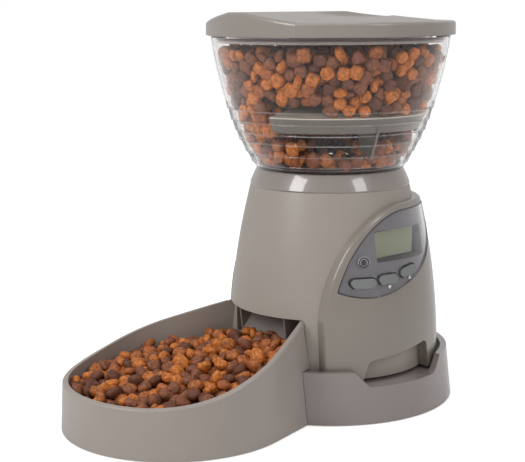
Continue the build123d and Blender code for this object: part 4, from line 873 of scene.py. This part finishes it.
@dataclass
class BowlFood(Kibble):
    """Food heaped in the bowl, near the rim on the panel's side and lower on the other."""

    basin: Basin = field(kw_only=True)
    seed: int = 8
    front: float = -268.0 * MM
    rear: float = -79.0 * MM
    reach: float = 95.0 * MM
    depth: float = 26.0 * MM
    floor_gap: float = 4.0 * MM
    rim_height: float = 44.7 * MM
    rim_slope: float = 0.322
    rim_start: float = -219.8 * MM
    rim_drop: float = 6.0 * MM  # Heap below the rim, on the panel's side.
    far_height: float = 40.0 * MM  # On the side away from the panel.
    far_slope: float = 0.15
    far_start: float = -250.0 * MM
    crown: float = 5.0 * MM
    rear_drop: float = 6.5 * MM  # Fall of the heap at the chute.
    rear_start: float = -132.0 * MM
    rear_length: float = 45.0 * MM
    loose: float = 0.7  # How much the ways that pieces face differ.
    upright: float = 0.9  # How much they all face up.

    def level(self, spots: np.ndarray) -> np.ndarray:
        """Surface of the heap.

        Args:
            spots: Places, one row each.

        Returns:
            The highest centre height at each place.
        """
        x, y = spots[:, 0], spots[:, 1]
        rim = self.rim_height + np.maximum(0.0, self.rim_slope * (y - self.rim_start))
        near = rim - self.rim_drop
        far = self.far_height + self.far_slope * (y - self.far_start)
        side = np.clip(0.5 + x / (2 * self.reach), 0.0, 1.0)
        crown = self.crown * (1 - (x / self.reach) ** 2)
        drop = self.rear_drop * np.clip((y - self.rear_start) / self.rear_length, 0.0, 1.0)
        return far + (near - far) * side + crown - self.half_piece - drop

    def floor(self, spots: np.ndarray) -> np.ndarray:
        """Lowest centre height at each place."""
        return np.maximum(self.basin.floor(spots) + self.floor_gap, self.level(spots) - self.depth)

    def draw(self, count: int) -> np.ndarray:
        """Gives random places inside the bowl.

        Args:
            count: Number of places.

        Returns:
            The places, one row each.
        """
        spots = np.empty((0, 2))
        while len(spots) < count:
            tried = np.stack([
                self.rng.uniform(-self.reach, self.reach, 2 * count),
                self.rng.uniform(self.front, self.rear, 2 * count),
            ], axis=1)
            room = self.basin.half_width(tried[:, 1]) - self.wall_gap
            spots = np.concatenate([spots, tried[np.abs(tried[:, 0]) < room]])
        return spots[:count]

    def build(self) -> None:
        """Heaps the bowl."""
        centers = self.settle(self.draw, self.floor, self.level)
        loose = self.rng.normal(size=(len(centers), 3)) * self.loose
        facing = loose + np.array([0, 0, self.upright])
        self.scatter("bowl_food", Body.BOWL, centers, facing)


class Skin:
    """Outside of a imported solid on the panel's side, for laying thin marks on."""

    away = 1.0
    near_side = 90.0 * MM
    lift = 0.12 * MM
    sharp = 0.9  # Least angle at its outer edge.
    outward = 0.4  # Least X of a normal there.

    def __init__(self, node: bpy.types.Object, axis_y: float) -> None:
        """Reads the solid.

        Args:
            node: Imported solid.
            axis_y: Place of the tower's axis along Y.
        """
        self.node = node
        self.axis_y = axis_y
        self.tree = solid_tree(node)

    def at(self, y: float, z: float) -> tuple[Vector, Vector]:
        """Finds a point of the outside.

        Args:
            y: Distance behind the tower's axis.
            z: Height.

        Returns:
            The point and the direction that the surface faces there.
        """
        start = Vector((self.away, y + self.axis_y, z))
        point, normal, _, _ = self.tree.ray_cast(start, Vector((-1.0, 0.0, 0.0)))
        if point is None:
            beside = Vector((self.near_side, y + self.axis_y, z))
            point, normal, _, _ = self.tree.find_nearest(beside)
        return point, normal

    def lay(self, mesh: Mesh, thickness: float) -> None:
        """Lays a flat sheet in the YZ plane on the outside and gives it a thickness.

        Args:
            mesh: Sheet about the tower's axis.
            thickness: Its thickness, most of it inside the surface.
        """
        for vertex in mesh.verts:
            point, normal = self.at(vertex.co.y, vertex.co.z)
            vertex.co = point + normal * self.lift
        bmesh.ops.recalc_face_normals(mesh, faces=mesh.faces)
        grown = bmesh.ops.extrude_face_region(mesh, geom=mesh.faces[:])
        inner = [item for item in grown["geom"] if isinstance(item, Vert)]
        bmesh.ops.translate(mesh, verts=inner, vec=(-thickness, 0.0, 0.0))
        bmesh.ops.recalc_face_normals(mesh, faces=mesh.faces)

    def outline(self) -> list[Vector]:
        """Points round the outer edge of the outside, in order."""
        mesh = solid_mesh(self.node)
        bmesh.ops.remove_doubles(mesh, verts=mesh.verts, dist=WELD)
        edges = [
            edge for edge in mesh.edges
            if len(edge.link_faces) == 2 and edge.calc_face_angle(0.0) > self.sharp
            and max(face.normal.x for face in edge.link_faces) > self.outward
        ]
        ends: dict[Vert, list[Vert]] = {}
        for edge in edges:
            for vertex in edge.verts:
                ends.setdefault(vertex, []).append(edge.other_vert(vertex))
        loops: list[list[Vector]] = []
        seen: set[Vert] = set()
        for first in sorted(ends, key=lambda vertex: len(ends[vertex])):
            if first in seen:
                continue
            loop, now = [], first
            while now is not None:
                seen.add(now)
                loop.append(now.co.copy())
                now = next((other for other in ends[now] if other not in seen), None)
            loops.append(loop)
        mesh.free()
        return max(loops, key=lambda loop: max(p.y for p in loop) - min(p.y for p in loop))


@dataclass
class HopperRings:
    """Rounded steps round the clear wall, the shade inside its foot, and a painted shadow under
    the lid's edge.
    """

    node: bpy.types.Object
    axis_y: float
    heights: tuple[float, ...] = mm((227.6, 237.6, 248.6, 257.6, 267.6, 278.6))[0]
    tube: float = 0.6 * MM
    corners: int = 8
    sunk: float = 0.25 * MM  # Centre of a step's section, inside the wall.
    steps: int = 96
    shade_line: Line = mm((66.3, 222.4), (66.9, 222.4), (68.4, 226.6), (67.8, 226.6))
    # Section of the painted shadow band under the lid's edge.
    lid_shadow_line: Line = mm((106.2, 341.4), (107.1, 341.4), (107.1, 343.6), (106.2, 343.6))

    def build(self) -> None:
        """Adds the painted shadow under the lid, the steps and the shade."""
        parts = [("lid_edge_shadow", self.lid_shadow_line, LID_SHADOW, Body.LID)]
        tree = solid_tree(self.node)
        inward = Vector((-1.0, 0.0, 0.0))
        turns = np.linspace(0, math.tau, self.corners, endpoint=False)
        for index, height in enumerate(self.heights):
            wall = tree.ray_cast(Vector((1.0, self.axis_y, height)), inward)[0].x
            middle = wall - self.sunk
            section = [
                (middle + self.tube * math.cos(turn), height + self.tube * math.sin(turn))
                for turn in turns
            ]
            parts.append((f"hopper_ring_{index + 1}", section, STEP, Body.HOPPER))
        parts.append(("hopper_foot_shade", self.shade_line, FOOT_SHADE, Body.HOPPER))
        for name, section, finish, body in parts:
            make_piece(name, turned_mesh(section, self.steps, self.axis_y), body, finish)


@dataclass
class Panel:
    """Small details of the control panel. Places are distance behind the axis, then height."""

    skin: Skin
    display: Skin
    display_bars: tuple[tuple[str, float, float, float, float], ...] = (
        ("display_edge_side", 34.0 * MM, 42.2 * MM, 143.5 * MM, 170.5 * MM),
        ("display_edge_foot", -18.2 * MM, 34.0 * MM, 143.5 * MM, 145.6 * MM),
        ("display_edge_head", -18.2 * MM, 34.0 * MM, 169.7 * MM, 170.5 * MM),
    )
    display_sheet: float = 0.4 * MM
    arrow_radius: float = 2.2 * MM
    arrows: tuple[tuple[str, float, float, float], ...] = (
        ("down_arrow", -10.0 * MM, 121.2 * MM, math.pi),
        ("up_arrow", 15.6 * MM, 126.3 * MM, 0.0),
    )
    lamp_place: tuple[float, float] = (-33.2 * MM, 144.8 * MM)
    lamp_rings: Line = mm((5.5, 0.42), (3.3, 0.34))
    lamp_line: Line = mm((3.0, 0.05), (5.4, 0.3), (5.4, -0.6), (3.0, -0.6))
    lamp_steps: int = 32
    ring_corners: int = 8
    # Dark strips beside the buttons: the gaps, widened on the lens with painted shade.
    slots: tuple[tuple[str, float, float, float, float, float], ...] = (
        ("enter_gap_shade", -35.0 * MM, 126.5 * MM, 22.5 * MM, 8.0 * MM, 0.0),
        ("down_gap_shade", -10.5 * MM, 128.3 * MM, 20.0 * MM, 8.5 * MM, math.radians(2.0)),
        ("up_gap_shade", 14.0 * MM, 133.0 * MM, 21.0 * MM, 8.0 * MM, math.radians(10.0)),
    )
    slot_steps: int = 32
    slot_share: float = 0.25  # Share of a button's width above which its gap shows.
    slot_span: float = 3.0 * MM  # Longest undivided edge.
    slot_cuts: int = 6
    gap_start: float = 0.35 * MM  # Distance from the button.
    gap_shade_width: float = 0.85 * MM
    seam_radius: float = 0.36 * MM
    sheet: float = 0.5 * MM

    @staticmethod
    def upright(y: float, z: float, turn: float = 0.0) -> Matrix:
        """Matrix that stands a flat shape up in the YZ plane, turned by an angle."""
        stand = Matrix(((0, 0, 1, 0), (1, 0, 0, 0), (0, 1, 0, 0), (0, 0, 0, 1)))
        return Matrix.Translation((0, y, z)) @ Matrix.Rotation(turn, 4, "X") @ stand

    def add_display_edges(self) -> None:
        """Darker edges round the pale part of the display."""
        for name, y_low, y_high, z_low, z_high in self.display_bars:
            mesh = bmesh.new()
            bmesh.ops.create_grid(mesh, x_segments=6, y_segments=2, size=0.5)
            place = self.upright((y_low + y_high) / 2, (z_low + z_high) / 2)
            mesh.transform(place @ Matrix.Diagonal((y_high - y_low, z_high - z_low, 1, 1)))
            self.display.lay(mesh, self.display_sheet)
            make_piece(name, mesh, Body.TOWER, DISPLAY_EDGE)

    def add_arrows(self) -> None:
        """Two small triangles under the buttons that count up and down."""
        for name, y, z, turn in self.arrows:
            mesh = bmesh.new()
            bmesh.ops.create_circle(mesh, cap_ends=True, segments=3, radius=self.arrow_radius)
            bmesh.ops.subdivide_edges(mesh, edges=mesh.edges, cuts=2, use_grid_fill=True)
            mesh.transform(self.upright(y, z, turn))
            self.skin.lay(mesh, self.sheet)
            make_piece(name, mesh, Body.TOWER, MARK)

    def add_lamp(self) -> None:
        """Shallow dark dish with two raised rings round the lamp."""
        y, z = self.lamp_place
        reach = self.lamp_rings[0][0]
        rear, _ = self.skin.at(y + reach, z)
        front, _ = self.skin.at(y - reach, z)
        normal = (rear - front).normalized().cross(Vector((0, 0, 1))).normalized()
        normal = normal if normal.x > 0 else -normal
        turn = normal.to_track_quat("Z", "Y").to_matrix().to_4x4()
        pose = Matrix.Translation((rear + front) / 2) @ turn
        stand = Matrix.Rotation(math.pi / 2, 4, "X")
        for index, (radius, tube) in enumerate(self.lamp_rings):
            mesh = bmesh.new()
            section = bmesh.ops.create_circle(
                mesh, segments=self.ring_corners, radius=tube,
                matrix=Matrix.Translation((radius, 0, 0)) @ stand,
            )
            spin_round(mesh, section["verts"] + mesh.edges[:], self.lamp_steps)
            mesh.transform(pose)
            make_piece(f"lamp_ring_{index + 1}", mesh, Body.TOWER, LAMP_EDGE)
        mesh = turned_mesh(self.lamp_line, self.lamp_steps)
        mesh.transform(pose)
        make_piece("lamp_dish", mesh, Body.TOWER, LAMP)

    def add_gaps(self) -> None:
        """Dark strips at the front and top of each button: partly the gap's own dark, partly
        painted shade in it.
        """
        for name, y, z, length, width, turn in self.slots:
            mesh = bmesh.new()
            radius = width / 2 + self.gap_start
            bmesh.ops.create_circle(mesh, segments=self.slot_steps, radius=radius)
            grown = bmesh.ops.extrude_edge_only(mesh, edges=mesh.edges[:])
            outer = [item for item in grown["geom"] if isinstance(item, Vert)]
            scale = (radius + self.gap_shade_width) / radius
            bmesh.ops.scale(mesh, vec=(scale, scale, scale), verts=outer)
            reach = (length - width) / 2
            for vertex in mesh.verts:
                if abs(vertex.co.x) > WELD:
                    vertex.co.x += math.copysign(reach, vertex.co.x)
            middles = [(face, face.calc_center_median()) for face in mesh.faces]
            hidden = [
                face for face, middle in middles
                if middle.y <= self.slot_share * width and middle.x >= -reach
            ]
            bmesh.ops.delete(mesh, geom=hidden, context="FACES")
            spans = [edge for edge in mesh.edges if edge.calc_length() > self.slot_span]
            bmesh.ops.subdivide_edges(mesh, edges=spans, cuts=self.slot_cuts, use_grid_fill=True)
            mesh.transform(self.upright(y, z, turn))
            self.skin.lay(mesh, self.sheet)
            make_piece(name, mesh, Body.TOWER, SEAM_AND_GAP_SHADE)

    def add_seam(self) -> None:
        """Dark seam round the clear panel."""
        points = self.skin.outline()
        data = bpy.data.curves.new("panel_seam", "CURVE")
        data.dimensions = "3D"
        data.bevel_depth = self.seam_radius
        data.bevel_resolution = 1
        spline = data.splines.new("POLY")
        spline.points.add(len(points) - 1)
        for target, point in zip(spline.points, points):
            target.co = (*point, 1.0)
        spline.use_cyclic_u = True
        link_piece("panel_seam", data, Body.TOWER, (SEAM_AND_GAP_SHADE,))
        log.info("made panel_seam through %d points", len(points))

    def build(self) -> None:
        """Adds all the panel's details."""
        self.add_display_edges()
        self.add_arrows()
        self.add_lamp()
        self.add_gaps()
        self.add_seam()


@dataclass
class Lamp:
    """Soft box that points at the tower. Its azimuth is in degrees from -Y towards +X."""

    name: str
    azimuth: float
    elevation: float
    distance: float
    width: float
    height: float
    power: float

    def build(self, target: Vector) -> None:
        """Adds the lamp.

        Args:
            target: Point that it shines at.
        """
        data = bpy.data.lights.new(self.name, "AREA")
        data.shape = "RECTANGLE"
        data.size, data.size_y, data.energy = self.width, self.height, self.power
        lamp = add_object(self.name, data)
        turn, rise = math.radians(self.azimuth), math.radians(self.elevation)
        across = math.cos(rise)
        offset = Vector((math.sin(turn) * across, -math.cos(turn) * across, math.sin(rise)))
        lamp.location = target + offset * self.distance
        lamp.rotation_euler = (-offset).to_track_quat("-Z", "Y").to_euler()


@dataclass
class Studio:
    """Floor, lamps, world and camera."""

    axis_y: float
    camera_turn: float = math.radians(51.0)
    camera_distance: float = 1.20703
    camera_height: float = 0.374723
    camera_yaw: float = math.radians(3.07976)
    camera_pitch: float = math.radians(10.20601)
    camera_roll: float = math.radians(-0.34723)
    focal_pixels: float = 1265.0
    sensor_width: float = 36.0
    far_clip: float = 50.0
    world_fill: float = 0.6
    floor_size: float = 12.0
    floor_white: float = 0.84  # For all but camera rays.
    floor_roughness: float = 0.8
    floor_shown: float = 0.82  # In the picture.
    floor_glow: float = 0.52  # Lifts the lit floor to white.
    aim_height: float = 0.18
    lamps: tuple[Lamp, ...] = (
        Lamp("left_box", 0.0, 30.0, 1.7, 0.58, 0.8, 11.4),
        Lamp("right_box", 99.0, 34.0, 1.7, 0.48, 0.5, 4.3),
        Lamp("top_box", 51.0, 80.0, 1.6, 1.0, 0.8, 5.0),
    )

    def add_camera(self) -> None:
        """Creates the camera and makes it the scene's."""
        yaw = self.camera_turn + self.camera_yaw
        along, fall = math.cos(self.camera_pitch), math.sin(self.camera_pitch)
        ahead = Vector((-math.sin(yaw) * along, math.cos(yaw) * along, -fall))
        right = Vector((math.cos(yaw), math.sin(yaw), 0.0))
        up = right.cross(ahead)
        cosine, sine = math.cos(self.camera_roll), math.sin(self.camera_roll)
        right, up = cosine * right + sine * up, cosine * up - sine * right
        data = bpy.data.cameras.new("camera")
        data.sensor_width = self.sensor_width
        data.lens = self.focal_pixels / PICTURE_WIDTH * self.sensor_width
        data.clip_end = self.far_clip
        camera = add_object("camera", data)
        turn = Matrix((right, up, -ahead)).transposed()
        camera.matrix_world = Matrix.Translation((
            self.camera_distance * math.sin(self.camera_turn),
            self.axis_y - self.camera_distance * math.cos(self.camera_turn),
            self.camera_height,
        )) @ turn.to_4x4()
        bpy.context.scene.camera = camera

    def add_floor(self) -> None:
        """White floor that keeps only a faint shadow."""
        mesh = bmesh.new()
        bmesh.ops.create_grid(mesh, x_segments=1, y_segments=1, size=self.floor_size)
        data = mesh_data("floor", mesh)
        material = bpy.data.materials.new("floor_white")
        material.use_nodes = True
        tree = material.node_tree
        shader = tree.nodes["Principled BSDF"]
        shader.inputs["Base Color"].default_value = (*[self.floor_white] * 3, 1.0)
        shader.inputs["Roughness"].default_value = self.floor_roughness
        shaded = tree.nodes.new("ShaderNodeBsdfDiffuse")
        shaded.inputs["Color"].default_value = (*[self.floor_shown] * 3, 1.0)
        glow = tree.nodes.new("ShaderNodeEmission")
        glow.inputs["Strength"].default_value = self.floor_glow
        both = tree.nodes.new("ShaderNodeAddShader")
        tree.links.new(shaded.outputs[0], both.inputs[0])
        tree.links.new(glow.outputs[0], both.inputs[1])
        surface = tree.nodes["Material Output"].inputs["Surface"]
        show_to_camera(tree, shader.outputs[0], both.outputs[0], surface)
        data.materials.append(material)
        floor = add_object("floor", data)

    def add_world(self) -> None:
        """White to the camera and through clear pieces, and a plain soft fill for the rest."""
        world = bpy.data.worlds.new("studio")
        bpy.context.scene.world = world
        world.use_nodes = True
        tree = world.node_tree
        fill = tree.nodes["Background"]
        white = tree.nodes.new("ShaderNodeBackground")
        for background, strength in ((fill, self.world_fill), (white, 1.0)):
            background.inputs["Color"].default_value = (1.0, 1.0, 1.0, 1.0)
            background.inputs["Strength"].default_value = strength
        surface = tree.nodes["World Output"].inputs["Surface"]
        show_to_camera(tree, fill.outputs[0], white.outputs[0], surface)

    def build(self) -> None:
        """Sets the whole studio up."""
        self.add_camera()
        self.add_floor()
        self.add_world()
        for lamp in self.lamps:
            lamp.build(Vector((0.0, self.axis_y, self.aim_height)))
        bpy.context.scene.view_settings.view_transform = "Standard"


def main() -> None:
    """Builds the feeder's finished look."""
    logging.basicConfig(level=logging.INFO, format="%(name)s: %(message)s")
    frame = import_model()
    nodes = frame["nodes"]
    Solids(frame).dress()
    low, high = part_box("collar")
    axis_y = (low[1] + high[1]) / 2
    HopperFood(axis_y).build()
    BowlFood(axis_y, basin=Basin(nodes["bowl"], axis_y)).build()
    HopperRings(nodes["hopper"], axis_y).build()
    Panel(Skin(nodes["panel_lens"], axis_y), Skin(nodes["lcd_module"], axis_y)).build()
    Studio(axis_y).build()


if __name__ == "__main__":
    main()
